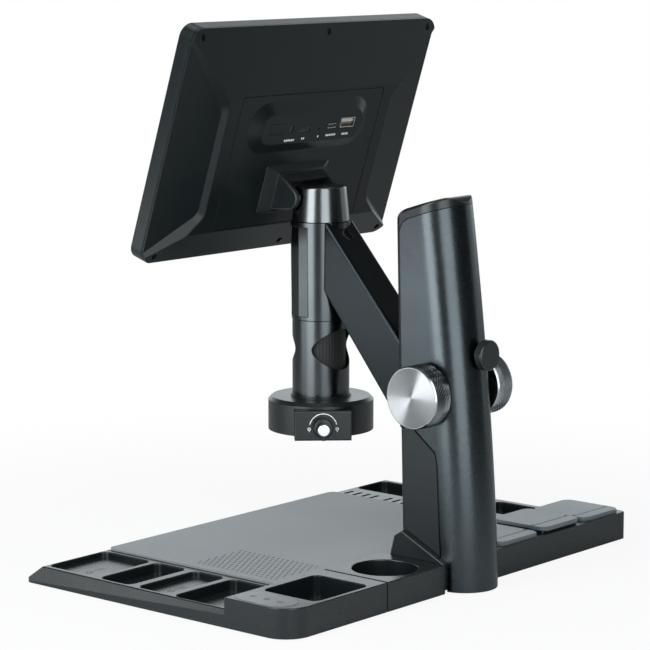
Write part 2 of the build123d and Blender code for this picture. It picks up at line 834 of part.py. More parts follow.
def make_carriage():
    half = carriage_half_width
    y = (ahead(carriage_reach[0]), ahead(carriage_reach[1]))
    plate = block((-half, half), y, carriage_span())
    for side in (-1, 1):
        bore = rod_radius + running_clearance
        plate -= rod_z(bore, (0, pillar_height), side * rod_x, ahead(rod_reach))
    return plate


def make_focus_knob(side):
    """A focus knob: a flat face, a knurled band and a polished rim next to the pillar."""
    y = ahead(shaft_reach)
    inner, outer = knob_x
    knob = rod_x_axis(knob_radius, (side * inner, side * outer), y, shaft_z)
    knob = chamfer(knob.edges().filter_by(GeomType.CIRCLE), knob_chamfer)
    band_x = (side * (outer - band_span[0]), side * (outer - band_span[1]))
    band = rod_x_axis(knob_radius + 1, band_x, y, shaft_z) - rod_x_axis(knob_radius - band_depth, band_x, y, shaft_z)
    knob -= band
    return knob - rod_x_axis(shaft_radius, (side * (inner - 1), side * (outer - 3)), y, shaft_z)


def make_shaft_bushes():
    """The flanged bushes that carry the focus shaft in the shell's sides."""
    y = ahead(shaft_reach)
    bushes = []
    for side in (-1, 1):
        wall = (side * (pillar_radius - pillar_wall - 1.5), side * pillar_radius)
        flange = (side * pillar_radius, side * (knob_x[0] - 0.4))
        bush = rod_x_axis(shaft_radius + 3.5, wall, y, shaft_z) + rod_x_axis(shaft_radius + 5.5, flange, y, shaft_z)
        bushes.append(bush - rod_x_axis(shaft_radius + running_clearance, (-60, 60), y, shaft_z))
    return bushes


def make_lock_knob():
    """The lock knob: a ribbed head on a screw that bears on the carriage."""
    rear = base_rear + lock_rear
    front = pillar_rear(lock_z - lock_radius + 3) + 0.4
    head = rod_y_axis(lock_radius, (front + 2, rear), 0, lock_z)
    head = chamfer(head.edges().filter_by(GeomType.CIRCLE), 0.8)
    for step in range(36):
        angle = radians(360 * step / 36)
        x = (lock_radius + 0.2) * cos(angle)
        z = lock_z + (lock_radius + 0.2) * sin(angle)
        head -= rod_y_axis(0.6, (front + 3.2, rear - 2.2), x, z)
    neck = rod_y_axis(lock_radius - 3, (front, front + 2), 0, lock_z)
    end = ahead(carriage_reach[1]) + lock_gap
    return head + neck + rod_y_axis(lock_screw_radius, (end, front + 4), 0, lock_z)


# ================================================================ arm and column
def column_y():
    """The y of the column's axis."""
    return ahead(column_reach)


def cone(low_radius, high_radius, z):
    """A round tapered post on the column's axis."""
    if abs(low_radius - high_radius) < 0.001:
        return rod_z(low_radius, z, 0, column_y())
    return Pos(0, column_y(), (z[0] + z[1]) / 2) * Cone(low_radius, high_radius, z[1] - z[0])


def upper_cone(inset, z):
    """The upper column's taper, shrunk by inset, between two heights."""
    slope = (upper_radii[1] - upper_radii[0]) / (head_seam - column_seam)
    low, high = (upper_radii[0] + (level - column_seam) * slope - inset for level in z)
    return cone(low, high, z)


def on_line(line, reach):
    """The height of a line of two (reach, z) points at another reach."""
    (reach_a, z_a), (reach_b, z_b) = line
    return z_a + (z_b - z_a) * (reach - reach_a) / (reach_b - reach_a)


def make_arm():
    """The slanting arm from the carriage to the column."""
    root = carriage_reach[0]
    points = [
        (ahead(root), on_line(arm_bottom, root)),
        (ahead(root), on_line(arm_top, root)),
        (ahead(arm_top[0][0]), arm_top[0][1]),
        (column_y(), arm_top[0][1]),
        (column_y(), arm_bottom[0][1]),
        (ahead(arm_bottom[0][0]), arm_bottom[0][1]),
    ]
    arm = side_cut(points, arm_half_width)
    long_edges = arm.edges().filter_by(lambda edge: edge.length > 50 and abs(edge.center().X) > 1)
    arm = fillet(long_edges.filter_by(lambda edge: edge.center().Z > 170), arm_edge_round)
    lower_edges = arm.edges().filter_by(lambda edge: edge.length > 40 and abs(edge.center().X) > 1)
    arm = fillet(lower_edges.filter_by(lambda edge: edge.center().Z < 170), arm_lower_round)
    return arm - upper_cone(0, (column_seam, head_seam)) - arm_screw_rod(0.1, -9)


def arm_screw_rod(clearance, top):
    """A rod on the arm screw's axis, from top down to the screw's lower face, below the arm's top."""
    rise = (arm_top[0][0] - arm_top[1][0], arm_top[0][1] - arm_top[1][1])
    origin = (0, ahead(arm_screw_reach), on_line(arm_top, arm_screw_reach))
    seat = Plane(origin=origin, z_dir=Vector(0, rise[1], rise[0]))
    depth = arm_screw_depth[1]
    return seat * Pos(0, 0, -(top + depth) / 2) * Cylinder(arm_screw_radius + clearance, depth - top)


def make_arm_screws():
    """The countersunk screw through the arm's top into the column."""
    return arm_screw_rod(0, arm_screw_depth[0])


def make_column_lower():
    """The lower column, with the two windows that open on the focus ring."""
    y = column_y()
    z = (column_bottom, column_seam - seam_gap)
    tube = rod_z(lower_radius, z, 0, y)
    tube -= rod_z(lower_radius - column_wall, (z[0] - 1, z[1] - 1.2), 0, y)
    tube -= rod_z(focus_ring_radii[0] + 1, (z[0], z[1] + 1), 0, y)
    window = Plane.XZ * Ellipse(window_size[0] / 2, window_size[1] / 2)
    cut = Pos(0, y, window_z) * extrude(window, 40, both=True)
    return tube - cut


def make_column_upper():
    """The upper column, a tapered tube with a seat for the strip."""
    z = (column_seam, head_seam - seam_gap)
    tube = upper_cone(0, z) - upper_cone(column_wall, (z[0] - 0.01, z[1] - 3))
    tube -= strip_shape(0.15, 3.0)
    return tube - arm_screw_rod(0.1, -9)


def strip_shape(clearance, proud):
    """The faceted strip on the column's right side, for the strip and its seat."""
    y = column_y()
    radius = upper_radii[0] + 0.5
    corners = [(radius * cos(radians(a)), radius * sin(radians(a))) for a in strip_angles]
    inner = [(corner[0] * (1 - strip_depth / radius), corner[1] * (1 - strip_depth / radius)) for corner in corners]
    outer = [(corner[0] * (1 + proud / radius), corner[1] * (1 + proud / radius)) for corner in corners]
    outline = make_face(Polyline(*outer, *reversed(inner), close=True))
    strip = extrude(offset(outline, clearance) if clearance else outline, strip_z[1] - strip_z[0] + 2 * clearance)
    return Pos(0, y, strip_z[0] - clearance) * strip


def make_column_head():
    """The head on top of the column, bored for the tilt pin."""
    z = (head_seam, head_top)
    head = cone(*head_radii, z)
    head = fillet(head.edges().sort_by(Axis.Z)[-1], head_edge_round)
    y, height = hinge_point()
    head -= rod_x_axis(hinge_pin_radius + running_clearance, (-30, 30), y, height)
    head -= cone(head_radii[0] - 4, head_radii[0] - 4, (head_seam - 1, height - hinge_pin_radius - 3))
    return head


def make_focus_ring():
    """The ribbed ring that the user turns through the windows."""
    y = column_y()
    ring = rod_z(focus_ring_radii[1], focus_ring_z, 0, y) - rod_z(focus_ring_radii[0], (0, 300), 0, y)
    for step in range(rib_count):
        angle = radians(360 * step / rib_count)
        reach = focus_ring_radii[1]
        place = Pos(reach * cos(angle), y + reach * sin(angle), sum(focus_ring_z) / 2) * Rot(0, 0, degrees(angle))
        ring -= place * Box(2 * rib_depth, 0.9, focus_ring_z[1] - focus_ring_z[0] - 4)
    return ring


def make_lens_barrel():
    """The lens barrel, held in the focus ring, with a narrower nose below."""
    y = column_y()
    radius = focus_ring_radii[0]
    low, high = barrel_span
    barrel = rod_z(radius, (barrel_nose_top, high), 0, y) + rod_z(barrel_nose_radius, (low, high), 0, y)
    barrel -= rod_z(radius - barrel_wall, (barrel_nose_top + barrel_wall, high + 1), 0, y)
    return barrel - rod_z(barrel_nose_radius - barrel_wall, (low - 1, high), 0, y)


def make_lens_glass():
    """The front lens, domed downwards."""
    y = column_y()
    radius = barrel_nose_radius - barrel_wall
    low = barrel_span[0] + 0.6
    disc = rod_z(radius, (low, low + lens_thickness), 0, y)
    ball = Pos(0, y, low + 2.4 * radius) * Sphere(2.4 * radius)
    return disc & ball


def make_camera_board():
    """The camera's sensor board, across the column above the lens."""
    half = camera_board_size / 2
    y = column_y()
    z = (camera_board_z, camera_board_z + board_thickness)
    board = block((-half, half), (y - half, y + half), z)
    sensor = block((-5, 5), (y - 5, y + 5), (camera_board_z - 2, camera_board_z))
    plug = block((-6, 6), (y + 4, y + 8), (z[1], z[1] + 3))
    stand = [rod_z(1.5, (column_seam - seam_gap, z[0]), x, y + yy) for x in (-10, 10) for yy in (-10, 10)]
    for post in stand:
        board += post
    return board + sensor + plug


# ================================================================ ring light
def ring_place():
    """The ring light's own frame: x points out of the control box."""
    return Pos(0, column_y(), 0) * Rot(0, 0, box_angle)


def make_ring_light():
    """The ring light's round housing, open below."""
    z = ring_z
    ring = rod_z(ring_radius, z)
    ring = chamfer(ring.edges().filter_by(GeomType.CIRCLE).sort_by(Axis.Z)[-1], ring_chamfer)
    ring += rod_z(ring_collar[0], (z[1] - 0.1, z[1] - 0.1 + ring_collar[1]))
    hollow = rod_z(ring_radius - ring_wall, (z[0] - 1, z[1] - ring_wall - ring_chamfer))
    hollow -= rod_z(ring_hole_radius + ring_wall, (z[0] - 1, z[1]))
    ring = ring - hollow - rod_z(ring_hole_radius, (z[0] - 1, z[1] + 5))
    ring -= rod_z(lower_radius + 0.25, (column_bottom - 0.25, z[1] + 5))
    ring -= control_box_block(0.05)
    return ring_place() * ring


def control_box_block(grow):
    """The control box's outside, in the ring light's frame."""
    inner = ring_radius - 8
    x = (inner - grow, box_face)
    y = (-box_width / 2 - grow, box_width / 2 + grow)
    return block(x, y, (box_z[0] - 3 * grow, box_z[1] + grow))


def make_control_box():
    """The box on the ring light's side that holds the brightness control."""
    box = control_box_block(0)
    box = fillet(box.faces().sort_by(Axis.X)[-1].edges(), 0.9)
    inner = ring_radius - 8
    y = (-box_width / 2 + ring_wall, box_width / 2 - ring_wall)
    box -= block((inner - 1, box_face - ring_wall), y, (box_z[0] + ring_wall, box_z[1] - ring_wall))
    box -= Pos(0, 0, control_z) * Rot(0, 90, 0) * Cylinder(3.6, 200)
    return ring_place() * box


def make_brightness_pot():
    """The potentiometer behind the knob."""
    body = block((ring_radius - 6, box_face - ring_wall), (-7, 7), (control_z - 7, control_z + 7))
    bush = Pos(box_face - ring_wall / 2, 0, control_z) * Rot(0, 90, 0) * Cylinder(3.5, ring_wall)
    pot = body + bush
    return ring_place() * (pot - Pos(box_face - 2, 0, control_z) * Rot(0, 90, 0) * Cylinder(1.5, 8))


def make_brightness_knob():
    """The knob's black skirt, with its pointer and its spindle."""
    face = box_face + 0.3
    place = Pos(face + control_depth / 2, 0, control_z) * Rot(0, 90, 0)
    skirt = place * Cylinder(control_radius, control_depth)
    skirt = fillet(skirt.edges().filter_by(GeomType.CIRCLE).sort_by(Axis.X)[-1], 1.2)
    spindle = Pos(face - 2, 0, control_z) * Rot(0, 90, 0) * Cylinder(1.4, 4.6)
    pointer = block((face + 1, face + control_depth + 1.2), (-1.0, 1.0), (control_z - control_radius - 1.2, control_z))
    knob = skirt + pointer + spindle
    return ring_place() * knob


def make_knob_cap():
    """The bright cap set in the knob."""
    start = box_face + 0.3 + control_depth + 1.2
    cap = Pos(start + cap_length / 2, 0, control_z) * Rot(0, 90, 0) * Cylinder(cap_radius, cap_length)
    cap = fillet(cap.edges().filter_by(GeomType.CIRCLE).sort_by(Axis.X)[-1], 0.8)
    return ring_place() * cap


def make_led_board():
    """The round board with the ring of lamps under it."""
    z = (ring_z[1] - 8.0, ring_z[1] - 8.0 + board_thickness)
    board = rod_z(26.0, z) - rod_z(ring_hole_radius + ring_wall + 0.3, (0, 300))
    for step in range(24):
        angle = radians(360 * step / 24)
        lamp = Pos(21.5 * cos(angle), 21.5 * sin(angle), z[0] - 0.5) * Rot(0, 0, degrees(angle)) * Box(2.8, 3.5, 1.0)
        board += lamp
    return ring_place() * board


def make_light_diffuser():
    """The frosted ring that closes the housing below."""
    z = (ring_z[0] + 0.6, ring_z[0] + 2.6)
    ring = rod_z(26.5, z) - rod_z(ring_hole_radius + ring_wall + 0.1, (0, 300))
    return ring_place() * ring


# ================================================================ monitor
lean = radians(monitor_tilt)
monitor_plane = Plane(
    origin=(0, ahead(monitor_reach), monitor_z),
    x_dir=(-1, 0, 0),
    z_dir=(0, cos(lean), -sin(lean)),
)
# In this frame x runs to the user's left, y up the screen, and z out of the back.


def hinge_point():
    """The tilt axis in side view: (y, z)."""
    point = monitor_plane.from_local_coords(Vector(0, hinge_v, hinge_w))
    return point.Y, point.Z


def slab(u, v, w, radius=0.0):
    """A box in the monitor's frame, its four corners rounded."""
    box = block(u, v, w)
    return fillet(box.edges().filter_by(Axis.Z), radius) if radius else box


def across(points, half_width):
    """An outline of (v, w) points, drawn out along the monitor's width."""
    outline = Plane.YZ * make_face(Polyline(*points, close=True))
    return extrude(outline, half_width, both=True)


def down(points, half_height):
    """An outline of (u, w) points, drawn out along the monitor's height."""
    outline = Plane.XZ * make_face(Polyline(*points, close=True))
    return extrude(outline, half_height, both=True)


def ring_groove(width, height, radius, middle, top, depth=0.5):
    """A thin rectangular groove cut into the monitor's back."""
    outer = Pos(0, middle, top - depth) * extrude(RectangleRounded(width, height, radius), 3)
    inner_size = (width - 2 * groove, height - 2 * groove)
    return outer - Pos(0, middle, top - depth) * extrude(RectangleRounded(*inner_size, radius - groove / 2), 3)


def side_facet(side):
    """The wedge cut beside the flat middle, which leaves a side facet and a step."""
    half_w = monitor_width / 2
    half_h = monitor_height / 2
    slope = (flank_u[0] - flank_u[1]) / (ridge_height - flank_rise)
    faces = []
    for level in (0.0, ridge_height + 2):
        reach = flank_u[0] + (flank_rise - level) * slope
        corner = half_w - 3.0 + (flank_rise - level) * slope
        spread = (flank_rise - level) * slope * 0.6
        outline = Polyline(
            (side * reach, flank_v[0] + spread),
            (side * reach, flank_v[1] - spread),
            (side * corner, half_h - 3.0 - spread),
            (side * (half_w + 20), half_h - 3.0 - spread),
            (side * (half_w + 20), -half_h + 3.0 + spread),
            (side * corner, -half_h + 3.0 + spread),
            close=True,
        )
        face = make_face(outline)
        inner = face.vertices().filter_by(lambda vertex, reach=reach: abs(abs(vertex.X) - reach) < 0.01)
        faces.append(Pos(0, 0, level) * fillet(inner, flank_round))
    cutter = loft(faces)
    edge = half_w + 25
    rise_at = (half_w - flank_u[0]) / flank_rise
    low = -25 / rise_at
    high = (half_w - 40) / rise_at
    above = [(side * edge, low), (side * 40, high), (side * 40, 40), (side * edge, 40)]
    return cutter & down(above, monitor_height)


def make_back_cover():
    """The monitor's ridged rear cover with the raised socket panel."""
    half_w = monitor_width / 2
    half_h = monitor_height / 2
    seam = -seam_depth
    low, high = ridge_v
    ridge = [(-half_h, seam), (-half_h, 0), (low, ridge_height), (high, ridge_height), (half_h, 0), (half_h, seam)]
    outline = slab((-half_w, half_w), (-half_h, half_h), (seam, ridge_height + 5), monitor_corner)
    body = across(ridge, half_w) & outline
    body = body - side_facet(1) - side_facet(-1)
    flat = body.faces().filter_by(Plane.XY).sort_by(Axis.Z)[-1]
    body = fillet(flat.edges(), ridge_round)
    foot = Pos(0, boss_centre, ridge_height - 0.01) * SlotOverall(*boss_foot)
    face = Pos(0, boss_centre - 0.3, ridge_height + boss_height) * SlotOverall(*boss_face)
    boss = loft([foot, face])
    body += fillet(boss.faces().sort_by(Axis.Z)[-1].edges(), boss_round)
    wall = casing_wall
    inner_v = [(-half_h + wall, seam - 1), (-half_h + wall, seam), (low + 1, ridge_height - wall)]
    inner_v += [(high - 1, ridge_height - wall), (half_h - wall, seam), (half_h - wall, seam - 1)]
    inner_u = [(-half_w + wall, seam - 1), (-half_w + wall, seam), (-flank_u[0] - 3, flank_rise - wall - 1)]
    inner_u += [(-flank_u[1] + 3, ridge_height - wall), (flank_u[1] - 3, ridge_height - wall)]
    inner_u += [(flank_u[0] + 3, flank_rise - wall - 1), (half_w - wall, seam), (half_w - wall, seam - 1)]
    body -= across(inner_v, half_w) & down(inner_u, half_h)
    socket_room = SlotOverall(boss_face[0] - 6, boss_face[1] - 4)
    body -= Pos(0, boss_centre - 0.3, 0) * extrude(socket_room, ridge_height + boss_height - wall)
    body -= ring_groove(2 * panel_half_width, panel_v[1] - panel_v[0], 2.0, sum(panel_v) / 2, ridge_height)
    for u, v in screw_points:
        body -= Pos(u, v, 5) * Cylinder(screw_head_radius + 0.3, 10 - 0.2)
        body -= Pos(u, v, 0) * Cylinder(screw_radius + 0.1, 20)
    face_z = ridge_height + boss_height
    for (u, v), (width, height) in ((usb_place, usb_size), (usb_c_place, usb_c_size), (card_place, card_size)):
        body -= Pos(u, v, face_z) * Box(width + 0.2, height + 0.2, 8)
    body -= Pos(*reset_place, face_z) * Cylinder(reset_radius + 0.15, 8)
    body -= Pos(*lamp_place, face_z) * Cylinder(lamp_radius, 8)
    rim = Pos(*blank_place, face_z) * Box(*blank_size, 0.6)
    body -= rim - Pos(*blank_place, face_z) * Box(blank_size[0] - 0.8, blank_size[1] - 0.8, 2)
    return monitor_plane.location * body


def make_front_bezel():
    """The front frame, with its screw posts and the buttons' holes."""
    half_w = monitor_width / 2
    half_h = monitor_height / 2
    wall = casing_wall
    front = -side_depth
    frame = slab((-half_w, half_w), (-half_h, half_h), (front, -seam_depth - 0.25), monitor_corner)
    frame = fillet(frame.faces().sort_by(Axis.Z)[0].edges(), front_round)
    room = (front + wall, 0)
    frame -= slab((-half_w + wall, half_w - wall), (-half_h + wall, half_h - wall), room, monitor_corner - wall)
    seat = (front - 1, front + glass_thickness + 0.1)
    frame -= slab((-glass_half_width, glass_half_width), glass_v, seat, 5.0)
    frame -= slab((-window_half_width, window_half_width), window_v, (front - 1, 0), 1.0)
    post_front = front + glass_thickness + 0.2
    post_rear = -seam_depth - 0.25
    for u, v in screw_points:
        frame += Pos(u, v, (post_front + post_rear) / 2) * Cylinder(screw_radius + 1.8, post_rear - post_front)
        frame -= Pos(u, v, -seam_depth - 2) * Cylinder(screw_radius, 7)
    for u in button_u:
        frame -= Pos(u, button_v, front) * Cylinder(button_radius + 0.15, 8)
    return monitor_plane.location * frame


def make_screen_glass():
    half = glass_half_width - 0.15
    v = (glass_v[0] + 0.15, glass_v[1] - 0.15)
    w = (-side_depth + 0.1, -side_depth + 0.1 + glass_thickness)
    return monitor_plane.location * slab((-half, half), v, w, 4.8)


def make_lcd_panel():
    low = -side_depth + casing_wall + 0.1
    half = window_half_width + 2.5
    v = (window_v[0] - 1.4, window_v[1] + 0.8)
    return monitor_plane.location * slab((-half, half), v, (low, low + lcd_thickness), 1.0)


def make_main_board():
    """The circuit board behind the sockets, with its larger chips."""
    half = board_half_width
    board = slab((-half, half), board_v, (board_w, board_w + board_thickness), 1.5)
    top = board_w + board_thickness
    board += slab((-12, 4), (-4, 5), (top, top + 1.0))
    board += slab((-50, -40), (0, 10), (top, top + 1.2))
    board += Pos(*lamp_place, (top + 12.4) / 2) * Cylinder(lamp_radius - 0.1, 12.4 - top)
    return monitor_plane.location * board


def make_usb_sockets():
    """The two metal data sockets."""
    low = board_w + board_thickness
    face = ridge_height + boss_height
    width, height = usb_size
    shell = Pos(*usb_place, (low + face + 0.3) / 2) * Box(width, height, face + 0.3 - low)
    room = Pos(*usb_place, face - 3.2) * Box(width - 0.8, height - 0.8, 7.6)
    tongue = Pos(usb_place[0], usb_place[1] + 1.2, face - 3.8) * Box(width - 2.6, 1.6, 6.8)
    large = shell - room + tongue
    width, height = usb_c_size
    radius = height / 2 - 0.05
    outer = extrude(RectangleRounded(width, height, radius), face - 0.4 - low)
    inner = extrude(RectangleRounded(width - 0.7, height - 0.7, radius - 0.35), 8)
    small = Pos(*usb_c_place, low) * outer - Pos(*usb_c_place, low + 1.5) * inner
    small += Pos(*usb_c_place, low + 3.5) * Box(width - 2.6, 0.8, 4.6)
    return [monitor_plane.location * solid for solid in (large, small)]


def make_card_slot():
    """The memory card's holder."""
    low = board_w + board_thickness
    face = ridge_height + boss_height
    width, height = card_size
    body = Pos(*card_place, (low + face - 0.8) / 2) * Box(width, height, face - 0.8 - low)
    body -= Pos(*card_place, face - 3) * Box(width - 0.8, height - 0.9, 6)
    return monitor_plane.location * body


def make_monitor_screws():
    screws = []
    for u, v in screw_points:
        head = Pos(u, v, 0.55) * Cylinder(screw_head_radius, 0.8)
        head -= Pos(u, v, 0.95) * Box(0.5, 2.2, 0.6) + Pos(u, v, 0.95) * Box(2.2, 0.5, 0.6)
        shank = Pos(u, v, -2.3) * Cylinder(screw_radius - 0.02, 5.0)
        screws.append(monitor_plane.location * (head + shank))
    return screws


def make_button(number):
    """One of the menu buttons below the screen."""
    u = button_u[number]
    front = -side_depth - button_proud
    back = -side_depth + casing_wall + 0.9
    stem = Pos(u, button_v, (front + back) / 2) * Cylinder(button_radius, back - front)
    stem = fillet(stem.edges().filter_by(GeomType.CIRCLE).sort_by(Axis.Z)[0], 0.3)
    flange = Pos(u, button_v, back - 0.4) * Cylinder(button_radius + 0.8, 0.8)
    return monitor_plane.location * (stem + flange)


def make_reset_button():
    """The small button sunk in the socket panel."""
    top = ridge_height + boss_height - 0.5
    low = board_w + board_thickness + reset_travel + 0.1
    return monitor_plane.location * (Pos(*reset_place, (top + low) / 2) * Cylinder(reset_radius, top - low))


def head_room(angle):
    """The room that the column's top takes between the cheeks at a tilt angle."""
    half = head_radii[0] + cheek_gap
    y, z = hinge_point()
    span_z = (head_seam - 2 * cheek_gap - bracket_foot[1] - z, head_top + cheek_gap - z)
    post = block((-half, half), (column_y() - half - cheek_gap - y, 2 * half), span_z)
    return Pos(0, y, z) * Rot(angle, 0, 0) * post


def make_hinge_bracket():
    """The wedge on the monitor's back whose cheeks straddle the column head."""
    top = hinge_v + bracket_foot[1] / 2
    bottom = hinge_v - bracket_foot[1] / 2
    root = Polyline((top - bracket_draft, ridge_height), (bottom + bracket_draft, ridge_height))
    nose = Pos(hinge_v, hinge_w) * Circle(hinge_radius)
    outline = Plane.YZ * make_hull(root.edges() + nose.edges())
    wedge = extrude(outline, bracket_half_width, both=True)
    sides = wedge.edges().filter_by(lambda edge: abs(abs(edge.center().X) - bracket_half_width) < 0.01)
    wedge = fillet(sides.filter_by(lambda edge: edge.center().Z > ridge_height + 1), bracket_round)
    foot = Pos(0, hinge_v, ridge_height) * RectangleRounded(*bracket_foot, 2.0)
    shoulder_size = (2 * bracket_half_width - 0.5, bracket_foot[1] - 2 * bracket_draft)
    shoulder = Pos(0, hinge_v, ridge_height + bracket_foot_rise) * RectangleRounded(*shoulder_size, 1.0)
    bracket = wedge + loft([foot, shoulder])
    half = head_radii[0] + cheek_gap
    bracket -= block((-half, half), (hinge_v - 30, hinge_v + 30), (hinge_w - web_end, hinge_w + 30))
    pin = Pos(0, hinge_v, hinge_w) * Rot(0, 90, 0) * Cylinder(hinge_pin_radius, 2 * bracket_half_width - 4)
    bracket = monitor_plane.location * (bracket - pin)
    for angle in range(tilt_limits[0], tilt_limits[1] + 1, tilt_step):
        bracket -= head_room(angle)
    return bracket


def make_tilt_pin():
    """The pin that the monitor tilts on, fixed in both cheeks."""
    pin = Pos(0, hinge_v, hinge_w) * Rot(0, 90, 0) * Cylinder(hinge_pin_radius, 2 * bracket_half_width - 4)
    return monitor_plane.location * pin


# ================================================================ all parts
def all_parts():
    """Every part by its name; a list holds identical separate pieces."""
    shell, cover, housing = make_pillar_parts()
    parts = {
        "base_plate": make_base_plate(),
        "rubber_feet": make_rubber_feet(),
        "right_tray": make_right_tray(),
        "left_tray": make_left_tray(),
        "mat_deck": make_mat_deck(),
        "work_mat": mat_shape(0, mat_proud),
        "cup_block": make_cup_block(),
        "parts_box": make_parts_box(),
        "lid_hinge_strips": make_hinge_strips(),
        "touch_plate": touch_plate_shape(0, touch_plate_proud),
        "foot_collar": make_foot_collar(),
        "pillar_shell": shell,
        "pillar_front_cover": cover,
        "pillar_front_housing": housing,
        "pillar_foot_block": make_foot_block(),
        "rail_top_block": make_top_block(),
        "guide_rods": make_guide_rods(),
        "base_screws": make_base_screws(),
        "shaft_bushes": make_shaft_bushes(),
        "pinion_shaft": make_pinion_shaft(),
        "focus_knob_left": make_focus_knob(-1),
        "focus_knob_right": make_focus_knob(1),
        "lock_knob": make_lock_knob(),
        "carriage": make_carriage(),
        "focus_rack": make_rack(),
        "arm": make_arm(),
        "arm_screws": make_arm_screws(),
        "column_lower": make_column_lower(),
        "column_upper": make_column_upper(),
        "column_strip": strip_shape(0, 0.0),
        "column_head": make_column_head(),
        "focus_ring": make_focus_ring(),
        "lens_barrel": make_lens_barrel(),
        "lens_glass": make_lens_glass(),
        "camera_board": make_camera_board(),
        "ring_light_housing": make_ring_light(),
        "led_board": make_led_board(),
        "light_diffuser": make_light_diffuser(),
        "control_box": make_control_box(),
        "brightness_pot": make_brightness_pot(),
        "brightness_knob": make_brightness_knob(),
        "knob_cap": make_knob_cap(),
        "back_cover": make_back_cover(),
        "front_bezel": make_front_bezel(),
        "screen_glass": make_screen_glass(),
        "lcd_panel": make_lcd_panel(),
        "main_board": make_main_board(),
        "usb_sockets": make_usb_sockets(),
        "card_slot": make_card_slot(),
        "reset_button": make_reset_button(),
        "monitor_screws": make_monitor_screws(),
        "hinge_bracket": make_hinge_bracket(),
        "tilt_pin": make_tilt_pin(),
    }
    for number in range(lid_count):
        parts[f"box_lid_{number + 1}"] = make_lid(number)
    for number in range(len(button_u)):
        parts[f"menu_button_{number + 1}"] = make_button(number)
    return parts


os.makedirs("parts", exist_ok=True)
for name, part in all_parts().items():
    solid = Compound(children=part) if isinstance(part, list) else part
    export_step(solid, f"parts/{name}.step")
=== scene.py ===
"""Video magnifier: finishes, small fittings, lamps and camera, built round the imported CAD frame.

Lengths are in metres, apart from those that say millimetres.
+Z is up, the user sits on the -Y side and +X is the user's right.
"""
import json
from math import cos, floor, pi, radians, sin

import bmesh
import bpy
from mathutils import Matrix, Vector


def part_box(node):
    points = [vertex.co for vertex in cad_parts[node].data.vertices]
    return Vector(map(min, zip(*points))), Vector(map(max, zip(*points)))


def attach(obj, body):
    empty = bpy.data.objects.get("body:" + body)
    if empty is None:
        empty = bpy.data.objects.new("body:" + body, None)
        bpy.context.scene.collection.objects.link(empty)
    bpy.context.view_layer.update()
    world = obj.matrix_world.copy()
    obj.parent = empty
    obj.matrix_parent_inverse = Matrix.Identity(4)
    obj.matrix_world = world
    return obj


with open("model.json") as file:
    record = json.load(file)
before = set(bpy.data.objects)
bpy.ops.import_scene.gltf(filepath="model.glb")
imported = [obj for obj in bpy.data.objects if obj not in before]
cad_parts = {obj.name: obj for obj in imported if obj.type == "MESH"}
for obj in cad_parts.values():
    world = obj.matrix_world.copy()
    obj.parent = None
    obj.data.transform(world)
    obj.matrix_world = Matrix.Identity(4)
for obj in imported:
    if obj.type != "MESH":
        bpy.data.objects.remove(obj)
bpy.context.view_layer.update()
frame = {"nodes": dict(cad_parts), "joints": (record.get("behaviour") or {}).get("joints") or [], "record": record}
MM = 0.001

# ---------------------------------------------------------------- finishes, as linear colours
BLACK_PLASTIC = (0.0050, 0.0078, 0.0086)
TRAY_BLACK = (0.0065, 0.0095, 0.0108)
BUTTON_BLACK = (0.012, 0.012, 0.013)
RUBBER_BLACK = (0.010, 0.010, 0.010)
PLATE_BLACK = (0.012, 0.012, 0.013)
SCREW_BLACK = (0.02, 0.02, 0.022)
PANE_BLACK = (0.004, 0.0045, 0.006)
PILLAR_PAINT = (0.062, 0.072, 0.077)
COLUMN_PAINT = (0.076, 0.083, 0.086)
HEAD_PAINT = (0.150, 0.157, 0.160)
ARM_PAINT = (0.015, 0.019, 0.021)
HOUSING_PAINT = (0.022, 0.026, 0.028)
MAT_GREY = (0.205, 0.218, 0.226)
# painted shade: the darker grey drawn where the work mat's pits are
PIT_PAINTED_SHADE = (0.075, 0.082, 0.086)
LID_GREY = (0.125, 0.150, 0.165)
TOUCH_GREY = (0.080, 0.086, 0.090)
PRINT_WHITE = (0.80, 0.81, 0.82)
PRINT_DARK = (0.03, 0.032, 0.035)
STEEL = (0.62, 0.63, 0.64)
SILVER = (0.86, 0.87, 0.88)
BRASS = (0.63, 0.44, 0.18)
CAST_ALLOY = (0.42, 0.43, 0.44)
PLATED_SHEET = (0.75, 0.75, 0.76)
PANEL_METAL = (0.30, 0.31, 0.32)
KNOB_RIM = (0.42, 0.44, 0.45)
KNOB_FACE = (0.43, 0.44, 0.45)
KNURL_METAL = (0.24, 0.26, 0.27)
TONGUE_CREAM = (0.72, 0.66, 0.58)
# painted shade: the dark brown drawn in the large socket's hollow under its tongue
SOCKET_PAINTED_SHADE = (0.035, 0.016, 0.010)
BOARD_GREEN = (0.012, 0.085, 0.035)
FROSTED_WHITE = (0.72, 0.74, 0.72)
LENS_TINT = (0.90, 0.95, 1.0)
DUST_COLOUR = (0.32, 0.31, 0.29, 1)
FLOOR_SHADES = ((0.78, 0.785, 0.79, 1), (0.80, 0.80, 0.80, 1))

# ---------------------------------------------------------------- lathe lines and shading
LATHE_LINES = 9000.0  # per metre of radius
LATHE_DEPTH = 0.002  # millimetres
LATHE_ROUGHNESS = 0.08  # what the lines add to the roughness
BEVEL_SAMPLES = 4
SHARP_ANGLE = 32  # degrees; sharper edges aren't smoothed
KNURL_SHARP_ANGLE = 60

